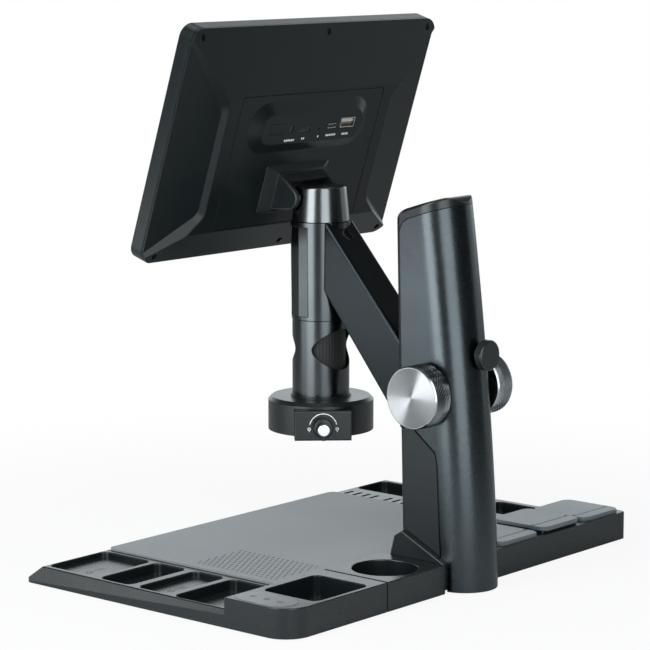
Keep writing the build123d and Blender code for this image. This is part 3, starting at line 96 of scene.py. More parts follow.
# ---------------------------------------------------------------- focus knobs, in millimetres
SIDES = {-1: "left", 1: "right"}
KNURL_BAND = (-1.0, -13.4)  # from the knob's outer face
KNURL_TEETH = 50
KNURL_PITCH = 2.6  # along the axis, from one ridge to the next
KNURL_DEPTH = 0.50
KNURL_SUNK = 0.12  # how far the ridges' ground lies under the knob's own skin
KNURL_ROOT = 0.3  # share of a ridge's depth that lies under that ground
KNURL_ROWS = 36
KNURL_STEPS = 400
KNURL_LIP = 0.02  # share of the radius that the band's closing rings turn in
FACE_PROFILE = [(0.0, -0.3), (19.1, -0.3), (19.3, -0.1), (19.3, 0.12), (19.1, 0.2), (0.0, 0.2)]
LATHE_STEPS = 96

# ---------------------------------------------------------------- pits in the work mat and their painted shade, in millimetres
PIT_ROWS, PITS_IN_ROW = 12, 17
PIT_SPACING = (4.2, 3.9)
FIRST_PIT = (-37.0, -65.0)
PIT_RADIUS, PIT_WIDTH = 0.62, 0.60

# ---------------------------------------------------------------- places of the small marks, in millimetres
PRINT_HEIGHT = 0.05
CASING_HEIGHT = 161.4
LARGE_SOCKET = (35.5, 13.9)
CONTACTS, CONTACT_SIZE, CONTACT_SPACING = 4, (1.0, 1.3), 2.4
TOUCH_RINGS = (-11.0, 0.0, 11.0)
TOUCH_BAR = (0.5, 1.4)
POCKET_MARKS = [(150.0, -86.0, 8.8), (150.0, -12.0, 8.8)]
POCKET_RING = (9.5, 1.3)
POCKET_DOTS = (4, 3)  # in each row
DOT_SIZE, DOT_SPACING, FIRST_DOT = (1.5, 1.0), (2.3, 2.6), -3.4
SMALL_SOCKETS = [((20.5, 12.0), (7.6, 1.9)), ((-7.75, 10.8), (10.3, 1.3))]
SOCKET_MARKS = [(35.5, 5.5, 6.8), (20.5, 5.6, 10.4), (7.5, 5.3, 1.7), (-7.75, 4.8, 3.6), (-21.5, 4.3, 10.4)]
STROKE_SIZE = (1.15, 1.5)
STROKE_SHARE, STROKE_SPACING = 1.7, 1.75  # a mark's width for each stroke, and from stroke to stroke
DIAL_ARC_RADIUS, DIAL_ARC_ANGLE = 9.1, 78
DIAL_END = 9.3  # from the knob's axis to the middle of an end ring

# ---------------------------------------------------------------- lamps and camera
VIEW_AZIMUTH = radians(40.44)
VIEW_ELEVATION = radians(8.72)
CAMERA_PLACE = (1.3375, 1.12155, 0.430)
CAMERA_LENS = 146.0
LAMP_TARGET = Vector((0.0, 0.0, 0.12))
LAMP_COLOUR = (0.95, 1.0, 1.02)
TOP_LAMP_PLACE = (-0.2, -0.2, 1.5)
TOP_LAMP_SIZE = (1.1, 1.1)
TOP_LAMP_RADIANCE = 1.1
# name, azimuth in degrees, distance, width and height, height of its middle, radiance
SOFTBOXES = [
    ("left_softbox", -2.4, 0.80, (0.42, 1.15), 0.58, 5.4),
    ("low_softbox", -31.0, 0.90, (0.46, 0.15), 0.08, 3.0),
    ("right_softbox", 58.0, 0.85, (0.50, 1.15), 0.58, 3.4),
    ("rear_softbox", 146.0, 1.1, (0.3, 1.2), 0.6, 0.6),
]
FLOOR_SIZE = 9.0
FLOOR_LEVEL = -0.0004
FLOOR_FADE = {"From Min": 0.20, "From Max": 0.62, "To Min": 0.90, "To Max": 1.0}
ROOM_COLOUR = (0.93, 1.0, 1.03, 1)
ROOM_LEVEL = 0.07
BAND_LEVEL = 1.45
BAND_HEIGHT = {"From Min": 0.60, "From Max": 0.25}  # the pale band, by the upward part of a direction
BAND_SIDE = {"From Min": 0.25, "From Max": 0.85}  # the same, by the part that points away from the camera


# ================================================================ places taken from the frame
def joint(name):
    """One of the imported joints, by name."""
    return next(item for item in frame["joints"] if item["name"] == name)


def corners(node):
    """A node's corner points in the row's frame."""
    return [vertex.co for vertex in frame["nodes"][node].data.vertices]


def reach(node, direction):
    """How far a node goes along a direction, from the origin."""
    return max(point.dot(direction) for point in corners(node))


def middle(node):
    """The middle of a node's box."""
    low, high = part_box(node)
    return (Vector(low) + Vector(high)) / 2


class Place:
    """A flat working place on the object: an origin, two directions along it and one out of it."""

    def __init__(self, origin, across, out):
        self.out = Vector(out).normalized()
        self.across = Vector(across).normalized()
        self.along = self.out.cross(self.across)
        self.origin = Vector(origin)

    def at(self, a, b, c=0.0):
        """The point a across, b along and c out, all in millimetres."""
        return self.origin + (self.across * a + self.along * b + self.out * c) * MM


# ================================================================ shared shader groups
def new_group(name, inputs, outputs):
    """A shader node group with float or vector sockets, and its two end nodes."""
    group = bpy.data.node_groups.new(name, "ShaderNodeTree")
    for socket, kind, value in inputs:
        item = group.interface.new_socket(name=socket, in_out="INPUT", socket_type=kind)
        item.default_value = value
    for socket, kind in outputs:
        group.interface.new_socket(name=socket, in_out="OUTPUT", socket_type=kind)
    entry = group.nodes.new("NodeGroupInput")
    leave = group.nodes.new("NodeGroupOutput")
    return group, entry, leave


def math_node(tree, operation, first, second=None, third=None):
    """A math node whose inputs are numbers or sockets; gives its output."""
    node = tree.nodes.new("ShaderNodeMath")
    node.operation = operation
    for index, value in enumerate((first, second, third)):
        if value is None:
            continue
        if isinstance(value, (int, float)):
            node.inputs[index].default_value = value
        else:
            tree.links.new(value, node.inputs[index])
    return node.outputs[0]


def noise_node(tree, vector, scale, detail=2.0, roughness=0.5):
    """A noise texture's value over a vector."""
    node = tree.nodes.new("ShaderNodeTexNoise")
    node.inputs["Detail"].default_value = detail
    node.inputs["Roughness"].default_value = roughness
    tree.links.new(vector, node.inputs["Vector"])
    if isinstance(scale, (int, float)):
        node.inputs["Scale"].default_value = scale
    else:
        tree.links.new(scale, node.inputs["Scale"])
    return node.outputs["Fac"]


def object_place(tree):
    """The point on the object that is being shaded."""
    return tree.nodes.new("ShaderNodeTexCoord").outputs["Object"]


def make_moulded_grain():
    """Fine spark-eroded grain: small rounded cells over a softer drift."""
    inputs = [("Cells per metre", "NodeSocketFloat", 2600.0), ("Drift", "NodeSocketFloat", 0.4)]
    group, entry, leave = new_group("moulded grain", inputs, [("Height", "NodeSocketFloat")])
    place = object_place(group)
    cells = group.nodes.new("ShaderNodeTexVoronoi")
    cells.feature = "SMOOTH_F1"
    group.links.new(place, cells.inputs["Vector"])
    group.links.new(entry.outputs["Cells per metre"], cells.inputs["Scale"])
    drift = noise_node(group, place, scale=320.0, detail=3.0)
    height = math_node(group, "MULTIPLY_ADD", drift, entry.outputs["Drift"], cells.outputs["Distance"])
    group.links.new(height, leave.inputs["Height"])
    return group


def make_handled_gloss():
    """Roughness that wanders a little, as on plastic that has been wiped and touched."""
    inputs = [("Roughness", "NodeSocketFloat", 0.4), ("Spread", "NodeSocketFloat", 0.08)]
    group, entry, leave = new_group("handled gloss", inputs, [("Roughness", "NodeSocketFloat")])
    place = object_place(group)
    broad = noise_node(group, place, scale=14.0, detail=4.0, roughness=0.6)
    fine = noise_node(group, place, scale=160.0, detail=3.0, roughness=0.6)
    fine_share = 0.4
    both = math_node(group, "MULTIPLY_ADD", fine, fine_share, broad)
    centred = math_node(group, "SUBTRACT", both, (1 + fine_share) / 2)
    wandering = math_node(group, "MULTIPLY_ADD", centred, entry.outputs["Spread"], entry.outputs["Roughness"])
    group.links.new(wandering, leave.inputs["Roughness"])
    return group


def make_settled_dust():
    """Faint dust specks on faces that look up."""
    inputs = [("Amount", "NodeSocketFloat", 0.2)]
    group, entry, leave = new_group("settled dust", inputs, [("Dust", "NodeSocketFloat")])
    place = object_place(group)
    rarity, speck_share = 0.70, 0.6
    specks = noise_node(group, place, scale=1500.0, detail=1.0)
    few = math_node(group, "GREATER_THAN", specks, rarity)
    cloud = noise_node(group, place, scale=22.0, detail=3.0)
    facing = group.nodes.new("ShaderNodeNewGeometry")
    split = group.nodes.new("ShaderNodeSeparateXYZ")
    group.links.new(facing.outputs["Normal"], split.inputs[0])
    upward = math_node(group, "MAXIMUM", split.outputs["Z"], 0.0)
    film = math_node(group, "MULTIPLY", math_node(group, "MULTIPLY_ADD", few, speck_share, cloud), upward)
    group.links.new(math_node(group, "MULTIPLY", film, entry.outputs["Amount"]), leave.inputs["Dust"])
    return group


def make_turned_lines():
    """Lines that a lathe leaves: they run round an axis through a centre."""
    inputs = [
        ("Centre", "NodeSocketVector", (0, 0, 0)),
        ("Axis", "NodeSocketVector", (1, 0, 0)),
        ("Lines per metre", "NodeSocketFloat", LATHE_LINES),
    ]
    group, entry, leave = new_group("turned lines", inputs, [("Line", "NodeSocketFloat")])
    offset = group.nodes.new("ShaderNodeVectorMath")
    offset.operation = "SUBTRACT"
    group.links.new(object_place(group), offset.inputs[0])
    group.links.new(entry.outputs["Centre"], offset.inputs[1])
    cross = group.nodes.new("ShaderNodeVectorMath")
    cross.operation = "CROSS_PRODUCT"
    group.links.new(offset.outputs[0], cross.inputs[0])
    group.links.new(entry.outputs["Axis"], cross.inputs[1])
    radius = group.nodes.new("ShaderNodeVectorMath")
    radius.operation = "LENGTH"
    group.links.new(cross.outputs[0], radius.inputs[0])
    lines = group.nodes.new("ShaderNodeTexNoise")
    lines.noise_dimensions = "1D"
    lines.inputs["Detail"].default_value = 3.0
    group.links.new(radius.outputs["Value"], lines.inputs["W"])
    group.links.new(entry.outputs["Lines per metre"], lines.inputs["Scale"])
    group.links.new(lines.outputs["Fac"], leave.inputs["Line"])
    return group


def make_tinted_drift():
    """A colour that drifts between two near shades."""
    inputs = [
        ("Shade", "NodeSocketColor", (0.1, 0.1, 0.1, 1)),
        ("Other shade", "NodeSocketColor", (0.12, 0.12, 0.12, 1)),
        ("Patches per metre", "NodeSocketFloat", 30.0),
        ("Dust", "NodeSocketFloat", 0.0),
    ]
    group, entry, leave = new_group("tinted drift", inputs, [("Color", "NodeSocketColor")])
    scale = entry.outputs["Patches per metre"]
    patches = noise_node(group, object_place(group), scale, detail=4.0, roughness=0.6)
    blend = group.nodes.new("ShaderNodeMix")
    blend.data_type = "RGBA"
    group.links.new(patches, blend.inputs["Factor"])
    group.links.new(entry.outputs["Shade"], blend.inputs[6])
    group.links.new(entry.outputs["Other shade"], blend.inputs[7])
    dusty = group.nodes.new("ShaderNodeMix")
    dusty.data_type = "RGBA"
    dusty.inputs[7].default_value = DUST_COLOUR
    group.links.new(entry.outputs["Dust"], dusty.inputs["Factor"])
    group.links.new(blend.outputs[2], dusty.inputs[6])
    group.links.new(dusty.outputs[2], leave.inputs["Color"])
    return group


GRAIN = make_moulded_grain()
GLOSS = make_handled_gloss()
DUST = make_settled_dust()
TURNED = make_turned_lines()
TINT = make_tinted_drift()


# ================================================================ materials
def blank(name, **values):
    """A material with its Principled shader, whose even values are set on its own sockets."""
    material = bpy.data.materials.new(name)
    material.use_nodes = True
    shader = material.node_tree.nodes["Principled BSDF"]
    for socket, value in values.items():
        shader.inputs[socket.replace("_", " ")].default_value = value
    return material, shader


def place_group(material, group, **values):
    """Puts a shared group in a material with its own values."""
    node = material.node_tree.nodes.new("ShaderNodeGroup")
    node.node_tree = group
    for socket, value in values.items():
        node.inputs[socket.replace("_", " ")].default_value = value
    return node


def bump(material, shader, height, depth, edge=0.0):
    """Feeds a height to the shader's normal, with edges softened; depth and edge's width in millimetres."""
    node = material.node_tree.nodes.new("ShaderNodeBump")
    if edge:
        soft = material.node_tree.nodes.new("ShaderNodeBevel")
        soft.samples = BEVEL_SAMPLES
        soft.inputs["Radius"].default_value = edge * MM
        material.node_tree.links.new(soft.outputs["Normal"], node.inputs["Normal"])
    node.inputs["Distance"].default_value = depth * MM
    material.node_tree.links.new(height, node.inputs["Height"])
    material.node_tree.links.new(node.outputs["Normal"], shader.inputs["Normal"])


def tinted(colour, gain):
    """A colour made lighter or darker, with its alpha."""
    return tuple(min(part * gain, 1.0) for part in colour) + (1.0,)


def moulded(name, colour, roughness, cells=2600.0, depth=0.012, dust=0.03, spread=0.10, edge=0.0, **values):
    """A moulded or painted surface: tint drift, wandering gloss, grain and a trace of dust."""
    material, shader = blank(name, **values)
    link = material.node_tree.links.new
    film = place_group(material, DUST, Amount=dust)
    tint = place_group(material, TINT, Shade=tinted(colour, 0.9), Other_shade=tinted(colour, 1.12))
    link(film.outputs["Dust"], tint.inputs["Dust"])
    link(tint.outputs["Color"], shader.inputs["Base Color"])
    gloss = place_group(material, GLOSS, Roughness=roughness, Spread=spread)
    link(gloss.outputs["Roughness"], shader.inputs["Roughness"])
    grain = place_group(material, GRAIN, Cells_per_metre=cells)
    bump(material, shader, grain.outputs["Height"], depth, edge)
    return material


def turned(name, colour, roughness, centre, axis, anisotropy=0.0):
    """Bare metal with lathe lines round an axis."""
    material, shader = blank(name, Metallic=1.0, Anisotropic=anisotropy, Anisotropic_Rotation=0.25)
    tree = material.node_tree
    cut = place_group(material, TURNED, Centre=tuple(centre), Axis=tuple(axis), Lines_per_metre=LATHE_LINES)
    tint = place_group(material, TINT, Shade=tinted(colour, 0.94), Other_shade=tinted(colour, 1.04))
    tree.links.new(tint.outputs["Color"], shader.inputs["Base Color"])
    gloss = place_group(material, GLOSS, Roughness=roughness, Spread=0.05)
    varied = math_node(tree, "MULTIPLY_ADD", cut.outputs["Line"], LATHE_ROUGHNESS, gloss.outputs["Roughness"])
    tree.links.new(varied, shader.inputs["Roughness"])
    if anisotropy:
        tangent = tree.nodes.new("ShaderNodeTangent")
        tangent.direction_type = "RADIAL"
        tangent.axis = "XYZ"[max(range(3), key=lambda index: abs(axis[index]))]
        tree.links.new(tangent.outputs["Tangent"], shader.inputs["Tangent"])
    bump(material, shader, cut.outputs["Line"], LATHE_DEPTH)
    return material


def casing_plastic():
    """The screen's casing: satin, with softened edges and less sheen than the other plastic."""
    return moulded("casing_plastic", BLACK_PLASTIC, 0.32, cells=3200.0, depth=0.008, dust=0.01,
                   edge=0.5, Specular_IOR_Level=0.30)


def print_and_painted_shade(name, colour, roughness=0.5):
    """Printed ink, a touch uneven; the same flat finish also paints the shade in the work mat's pits and in the
    large socket's hollow.
    """
    return moulded(name, colour, roughness, cells=5000.0, depth=0.004, dust=0.0, spread=0.05)


def clear_glass(name, colour, roughness):
    """Clear coated glass."""
    material, shader = blank(name, Transmission_Weight=1.0, IOR=1.52, Coat_Weight=0.4)
    link = material.node_tree.links.new
    tint = place_group(material, TINT, Shade=tinted(colour, 0.97), Other_shade=tinted(colour, 1.0))
    link(tint.outputs["Color"], shader.inputs["Base Color"])
    gloss = place_group(material, GLOSS, Roughness=roughness, Spread=0.02)
    link(gloss.outputs["Roughness"], shader.inputs["Roughness"])
    return material


def screen_pane():
    """The screen's black pane: glossy, with faint wiping marks."""
    return moulded("screen_pane", PANE_BLACK, 0.06, cells=400.0, depth=0.0004, dust=0.02,
                   spread=0.05, Coat_Weight=0.6, Coat_Roughness=0.03)


def frosted_light():
    """The frosted ring over the lamps, which lets a little light through."""
    return moulded("frosted_ring", FROSTED_WHITE, 0.45, cells=1800.0, depth=0.01, dust=0.0,
                   Transmission_Weight=0.25)


def board_lacquer():
    """Green lacquer over copper."""
    return moulded("board_lacquer", BOARD_GREEN, 0.28, cells=900.0, depth=0.006, dust=0.0)


# ================================================================ mesh helpers
def smooth_by_angle(piece, degrees):
    """Smooth shading apart from the edges sharper than an angle."""
    mesh = piece.data
    for polygon in mesh.polygons:
        polygon.use_smooth = True
    mesh.set_sharp_from_angle(angle=radians(degrees))


def settle(name, mesh_builder, body, material, sharp=SHARP_ANGLE):
    """Turns a filled bmesh into a named piece that rides on a body."""
    mesh = bpy.data.meshes.new(name)
    bmesh.ops.recalc_face_normals(mesh_builder, faces=mesh_builder.faces)
    mesh_builder.to_mesh(mesh)
    mesh_builder.free()
    piece = bpy.data.objects.new(name, mesh)
    bpy.context.scene.collection.objects.link(piece)
    mesh.materials.append(material)
    smooth_by_angle(piece, sharp)
    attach(piece, body)


def join_rings(builder, here, there):
    """Faces between two closed rings of points, either of which may be a single point."""
    count = max(len(here), len(there))
    for step in range(count):
        after = (step + 1) % count
        if len(here) == 1:
            builder.faces.new((here[0], there[step], there[after]))
        elif len(there) == 1:
            builder.faces.new((here[step], here[after], there[0]))
        else:
            builder.faces.new((here[step], here[after], there[after], there[step]))


def add_plate(builder, points, out, thickness):
    """A thin closed plate over an outline of points."""
    lower = [builder.verts.new(point) for point in points]
    upper = [builder.verts.new(point + out * thickness) for point in points]
    builder.faces.new(lower[::-1])
    builder.faces.new(upper)
    join_rings(builder, lower, upper)


def add_arc(builder, place, centre, radius, width, start=0, end=360, height=PRINT_HEIGHT, steps=24):
    """A thin arc or ring drawn on a place; angles in degrees, lengths in millimetres."""
    closed = abs(end - start) >= 360
    inside, outside = radius - width / 2, radius + width / 2
    rows = []
    for step in range(steps + (0 if closed else 1)):
        angle = radians(start + (end - start) * step / steps)
        row = []
        for distance, level in ((inside, 0), (outside, 0), (outside, height), (inside, height)):
            a = centre[0] + distance * cos(angle)
            b = centre[1] + distance * sin(angle)
            row.append(builder.verts.new(place.at(a, b, level)))
        rows.append(row)
    pairs = list(zip(rows, rows[1:])) + ([(rows[-1], rows[0])] if closed else [])
    for here, there in pairs:
        join_rings(builder, here, there)
    if not closed:
        builder.faces.new(rows[0])
        builder.faces.new(rows[-1][::-1])


def add_bar(builder, place, centre, size, height=PRINT_HEIGHT, base=0.0):
    """A small flat bar with clipped corners on a place; lengths in millimetres."""
    half_a, half_b = size[0] / 2, size[1] / 2
    clip = min(half_a, half_b) * 0.4
    outline = [
        (half_a - clip, -half_b), (half_a, clip - half_b), (half_a, half_b - clip), (half_a - clip, half_b),
        (clip - half_a, half_b), (-half_a, half_b - clip), (-half_a, clip - half_b), (clip - half_a, -half_b),
    ]
    points = [place.at(centre[0] + a, centre[1] + b, base) for a, b in outline]
    add_plate(builder, points, place.out, height * MM)


def lathe(name, profile, place, body, material):
    """A turned piece: (radius, height) points in millimetres, spun round a place's outward direction."""
    builder = bmesh.new()
    rows = []
    for radius, height in profile:
        if radius == 0:
            rows.append([builder.verts.new(place.at(0, 0, height))])
            continue
        row = []
        for step in range(LATHE_STEPS):
            angle = 2 * pi * step / LATHE_STEPS
            row.append(builder.verts.new(place.at(radius * cos(angle), radius * sin(angle), height)))
        rows.append(row)
    for here, there in zip(rows, rows[1:]):
        join_rings(builder, here, there)
    settle(name, builder, body, material)


# ================================================================ focus knobs
def saw(value):
    """A triangle wave from 0 to 1 and back over one unit."""
    return 1 - abs(2 * (value - floor(value)) - 1)


def knob_place(side):
    """The place on a focus knob's outer face, with its axis as the way out."""
    node = "focus_knob_" + SIDES[side]
    low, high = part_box(node)
    centre = middle(node)
    return Place((high[0] if side > 0 else low[0], centre.y, centre.z), (0, 1, 0), (side, 0, 0))


def turned_in(place, point):
    """A point moved a little towards the axis that stands on a place."""
    inward = place.origin - point
    return point + (inward - inward.dot(place.out) * place.out) * KNURL_LIP


def add_knurled_band(side, material):
    """The band of slanting ridges round a focus knob, closed inside by a plain skin."""
    place = knob_place(side)
    low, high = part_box("focus_knob_" + SIDES[side])
    ground = (high[2] - low[2]) / 2 / MM - KNURL_SUNK
    first, last = KNURL_BAND
    builder = bmesh.new()
    grid = []
    for row in range(KNURL_ROWS + 1):
        height = first + (last - first) * row / KNURL_ROWS
        ends = min(1.0, min(row, KNURL_ROWS - row) / 2)
        line = []
        for step in range(KNURL_STEPS):
            turn = step / KNURL_STEPS
            rise = saw(turn * KNURL_TEETH + side * height / KNURL_PITCH)
            distance = ground + KNURL_DEPTH * (rise - KNURL_ROOT) * ends
            angle = 2 * pi * turn
            line.append(builder.verts.new(place.at(distance * cos(angle), distance * sin(angle), height)))
        grid.append(line)
    for here, there in zip(grid, grid[1:]):
        join_rings(builder, here, there)
    rims = (grid[0], grid[-1])
    inner = [[builder.verts.new(turned_in(place, vertex.co)) for vertex in rim] for rim in rims]
    for rim, ring in zip(rims, inner):
        join_rings(builder, rim, ring)
    join_rings(builder, *inner)
    settle("knurled_band_" + SIDES[side], builder, "focus", material, KNURL_SHARP_ANGLE)


def add_knob_face(side, material):
    """The turned disc that faces a focus knob."""
    lathe("knob_face_" + SIDES[side], FACE_PROFILE, knob_place(side), "focus", material)


# ================================================================ base
def add_painted_pit_shades(material):
    """Painted shade of the small round pits in the work mat: darker rings drawn on its top, in staggered rows."""
    low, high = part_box("work_mat")
    place = Place((0, 0, high[2]), (0, 1, 0), (0, 0, 1))
    across, along = PIT_SPACING
    builder = bmesh.new()
    for row in range(PIT_ROWS):
        stagger = across / 2 if row % 2 else 0.0
        for pit in range(PITS_IN_ROW):
            centre = (FIRST_PIT[0] + pit * across + stagger, FIRST_PIT[1] - row * along)
            add_arc(builder, place, centre, PIT_RADIUS, PIT_WIDTH, steps=12)
    settle("painted_pit_shades", builder, "base", material)


def add_floor_marks(material):
    """Small plain marks: rings and a bar on the touch plate, dots and a ring on the floors of two pockets."""
    plate = middle("touch_plate")
    place = Place((plate.x, plate.y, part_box("touch_plate")[1][2]), (1, 0, 0), (0, 0, 1))
    builder = bmesh.new()
    for offset in TOUCH_RINGS:
        add_arc(builder, place, (0, offset), radius=1.7, width=0.45)
    add_bar(builder, place, (0, 0), TOUCH_BAR)
    settle("touch_marks", builder, "base", material)
    builder = bmesh.new()
    for x, y, level in POCKET_MARKS:
        place = Place((x * MM, y * MM, level * MM), (1, 0, 0), (0, 0, 1))
        for row, dots in enumerate(POCKET_DOTS):
            for dot in range(dots):
                centre = (dot * DOT_SPACING[0] + FIRST_DOT, row * DOT_SPACING[1])
                add_bar(builder, place, centre, DOT_SIZE, base=-0.01)
        add_arc(builder, place, POCKET_RING, radius=2.1, width=0.6)
    settle("pocket_marks", builder, "base", material)


# ================================================================ screen's back
def back_place():
    """The middle of the back, in the plane of the raised socket panel: across is the user's left."""
    out = -Vector(joint("reset_press")["axis"])
    across = Vector((-1, 0, 0))
    up = out.cross(across)
    origin = out * reach("back_cover", out) + up * (reach("front_bezel", up) - CASING_HEIGHT / 2 * MM)
    return Place(origin, across, out)


def add_socket_marks(material):
    """Small plain marks under the sockets, of the size that print has there."""
    place = back_place()
    builder = bmesh.new()
    for mark_middle, v, width in SOCKET_MARKS:
        strokes = max(1, round(width / STROKE_SHARE))
        for stroke in range(strokes):
            u = mark_middle + (stroke - (strokes - 1) / 2) * STROKE_SPACING
            add_bar(builder, place, (u, v), STROKE_SIZE, height=0.04, base=-0.005)
    settle("socket_marks", builder, "monitor", material)


def add_socket_tongues(finishes):
    """The cream tongue of the large socket, with its contacts, a dark sheet of painted shade in its hollow under
    the tongue, and the dark tongues of the small ones.
    """
    place = back_place()
    u, v = LARGE_SOCKET
    middles = [u + (contact - (CONTACTS - 1) / 2) * CONTACT_SPACING for contact in range(CONTACTS)]
    contacts = [((contact_u, v - 0.6), CONTACT_SIZE) for contact_u in middles]
    # name, centres and sizes of its bars, height, base, slot, finish
    for name, bars, height, base, slot, finish in (
        ("large_socket_tongue", [((u, v + 1.3), (10.8, 2.0))], 0.5, -0.9, "diffuser_white", "socket_tongue"),
        # a dark sheet as painted shade in the socket's hollow under the tongue
        ("large_socket_painted_shade", [((u, v - 1.2), (11.2, 2.6))], 0.3, -1.1, "black_satin", "socket_painted_shade"),
        ("small_socket_tongues", SMALL_SOCKETS, 0.25, -0.6, "black_satin", "black_satin"),
        ("large_socket_contacts", contacts, 0.1, -0.78, "brass_parts", "brass_parts"),
    ):
        builder = bmesh.new()
        for centre, size in bars:
            add_bar(builder, place, centre, size, height, base)
        settle(name, builder, "monitor", finishes[finish])


# ================================================================ control box
def add_dial_marks(material):
    """The brightness knob's arc, with a small ring at each end."""
    out = Vector(joint("brightness_turn")["axis"]).normalized()
    centre = Vector(joint("brightness_turn")["pos_m"])
    centre += out * (reach("control_box", out) - centre.dot(out))
    place = Place(centre, (0, 0, 1), out)
    builder = bmesh.new()
    add_arc(builder, place, (0, 0), DIAL_ARC_RADIUS, 0.55, start=-DIAL_ARC_ANGLE, end=DIAL_ARC_ANGLE)
    for side in (-1, 1):
        add_arc(builder, place, (-1.2, side * DIAL_END), radius=0.85, width=0.45)
        add_bar(builder, place, (-2.7, side * DIAL_END), (0.9, 0.5))
    settle("dial_marks", builder, "ring_light", material)


# ================================================================ put together
def dress_nodes(finishes):
    """Gives each CAD node its material."""
    slots = {part["node"]: part["material_slot"] for part in frame["record"]["subparts"]}
    for name, node in frame["nodes"].items():
        node.data.materials.clear()
        node.data.materials.append(finishes.get(name) or finishes[slots[name]])


def make_finishes():
    """Every material, by the record's slot, by the node's own name or by a small piece's finish."""
    column = middle("focus_ring")
    right = knob_place(1).origin
    cap = middle("knob_cap")
    upright, sideways, dial_axis = (0, 0, 1), (1, 0, 0), joint("brightness_turn")["axis"]
    return {
        "black_satin": moulded("satin_plastic", BLACK_PLASTIC, 0.30, depth=0.008, edge=0.4),
        "tray_black": moulded("tray_plastic", TRAY_BLACK, 0.27, cells=2200.0, depth=0.004, dust=0.02,
                              edge=0.4),
        "mat_grey": moulded("mat_rubber", MAT_GREY, 0.42, cells=1500.0, dust=0.04),
        "lid_blue_grey": moulded("lid_plastic", LID_GREY, 0.36, cells=2400.0, depth=0.006, edge=0.3),
        "touch_grey": moulded("touch_plastic", TOUCH_GREY, 0.30, depth=0.003),
        "rubber_black": moulded("rubber", RUBBER_BLACK, 0.6, cells=1600.0, depth=0.02),
        "plate_steel": moulded("plate_paint", PLATE_BLACK, 0.5, cells=900.0, depth=0.02),
        "gunmetal": moulded("pillar_paint", PILLAR_PAINT, 0.27, depth=0.003, dust=0.0, edge=0.5,
                            Metallic=1.0),
        "pillar_front_housing": moulded("housing_paint", HOUSING_PAINT, 0.34, depth=0.005, dust=0.0, edge=0.5,
                                        Metallic=0.5),
        "dark_metal": moulded("column_paint", COLUMN_PAINT, 0.23, depth=0.005, dust=0.0, edge=0.5,
                              Metallic=1.0),
        "column_head": moulded("head_paint", HEAD_PAINT, 0.21, depth=0.004, dust=0.0, edge=0.5,
                               Metallic=1.0),
        "arm": moulded("arm_paint", ARM_PAINT, 0.24, depth=0.004, dust=0.0, edge=1.6, Metallic=0.9,
                       Coat_Weight=0.12, Coat_Roughness=0.18),
        "bright_steel": turned("ground_steel", STEEL, 0.2, column, upright),
        "knob_metal": turned("knob_rim", KNOB_RIM, 0.14, right, sideways),
        "brass_parts": turned("brass", BRASS, 0.28, right, sideways),
        "cast_aluminium": moulded("cast_alloy", CAST_ALLOY, 0.42, cells=700.0, depth=0.03, Metallic=1.0),
        "screw_black": moulded("screw_black", SCREW_BLACK, 0.3, Metallic=1.0),
        "shell_metal": moulded("plated_shell", PLATED_SHEET, 0.16, depth=0.002, Metallic=1.0),
        "board_green": board_lacquer(),
        "lens_clear": clear_glass("lens_glass", LENS_TINT, 0.02),
        "screen_black": screen_pane(),
        "lcd_dark": moulded("panel_back", PANEL_METAL, 0.3, Metallic=0.8),
        "diffuser_white": frosted_light(),
        "cap_silver": turned("cap_silver", SILVER, 0.16, cap, dial_axis),
        "button_black": moulded("button_plastic", BUTTON_BLACK, 0.28),
        "back_cover": casing_plastic(),
        "knob_face": turned("turned_face", KNOB_FACE, 0.36, right, sideways, anisotropy=1.0),
        "knurl": turned("knurled_metal", KNURL_METAL, 0.16, right, sideways),
        "print": print_and_painted_shade("white_print", PRINT_WHITE),
        "socket_tongue": print_and_painted_shade("socket_tongue", TONGUE_CREAM, 0.4),
        # painted shade in the large socket's hollow
        "socket_painted_shade": print_and_painted_shade("socket_painted_shade", SOCKET_PAINTED_SHADE),
        "dark_print": print_and_painted_shade("dark_print", PRINT_DARK),
        # the mat's pits: darker grey rings as painted shade, made with the print finish
        "painted_pit_shade": print_and_painted_shade("painted_pit_shade", PIT_PAINTED_SHADE, 0.6),
    }


# ================================================================ studio
def smooth_range(tree, value, ends):
    """Maps a value between named ends with soft starts and stops; gives the output."""
    node = tree.nodes.new("ShaderNodeMapRange")
    node.interpolation_type = "SMOOTHSTEP"
    for socket, end in ends.items():
        node.inputs[socket].default_value = end
    tree.links.new(value, node.inputs["Value"])
    return node.outputs["Result"]


def camera_choice(tree, seen, unseen, share):
    """A shader that is one thing to the camera and another to the object."""
    mix = tree.nodes.new("ShaderNodeMixShader")
    tree.links.new(share, mix.inputs[0])
    tree.links.new(unseen, mix.inputs[1])
    tree.links.new(seen, mix.inputs[2])
    return mix.outputs[0]


def camera_rays(tree):
    """One where the camera itself looks, and nothing for reflections and shadows."""
    return tree.nodes.new("ShaderNodeLightPath").outputs["Is Camera Ray"]


def add_floor():
    """The pale floor, which takes shadows near the object and fades into the white further out."""
    bpy.ops.mesh.primitive_plane_add(size=FLOOR_SIZE, location=(0, 0, FLOOR_LEVEL))
    ground = bpy.context.object
    ground.name = "floor"
    material, shader = blank("pale_floor", Roughness=0.9, Specular_IOR_Level=0.1)
    tree = material.node_tree
    shade, other = FLOOR_SHADES
    tint = place_group(material, TINT, Shade=shade, Other_shade=other, Patches_per_metre=3.0)
    tree.links.new(tint.outputs["Color"], shader.inputs["Base Color"])
    glow = tree.nodes.new("ShaderNodeEmission")
    away = tree.nodes.new("ShaderNodeVectorMath")
    away.operation = "LENGTH"
    tree.links.new(object_place(tree), away.inputs[0])
    fade = smooth_range(tree, away.outputs["Value"], FLOOR_FADE)
    share = math_node(tree, "MULTIPLY", camera_rays(tree), fade)
    surface = camera_choice(tree, glow.outputs[0], shader.outputs[0], share)
    tree.links.new(surface, tree.nodes["Material Output"].inputs["Surface"])
    ground.data.materials.append(material)


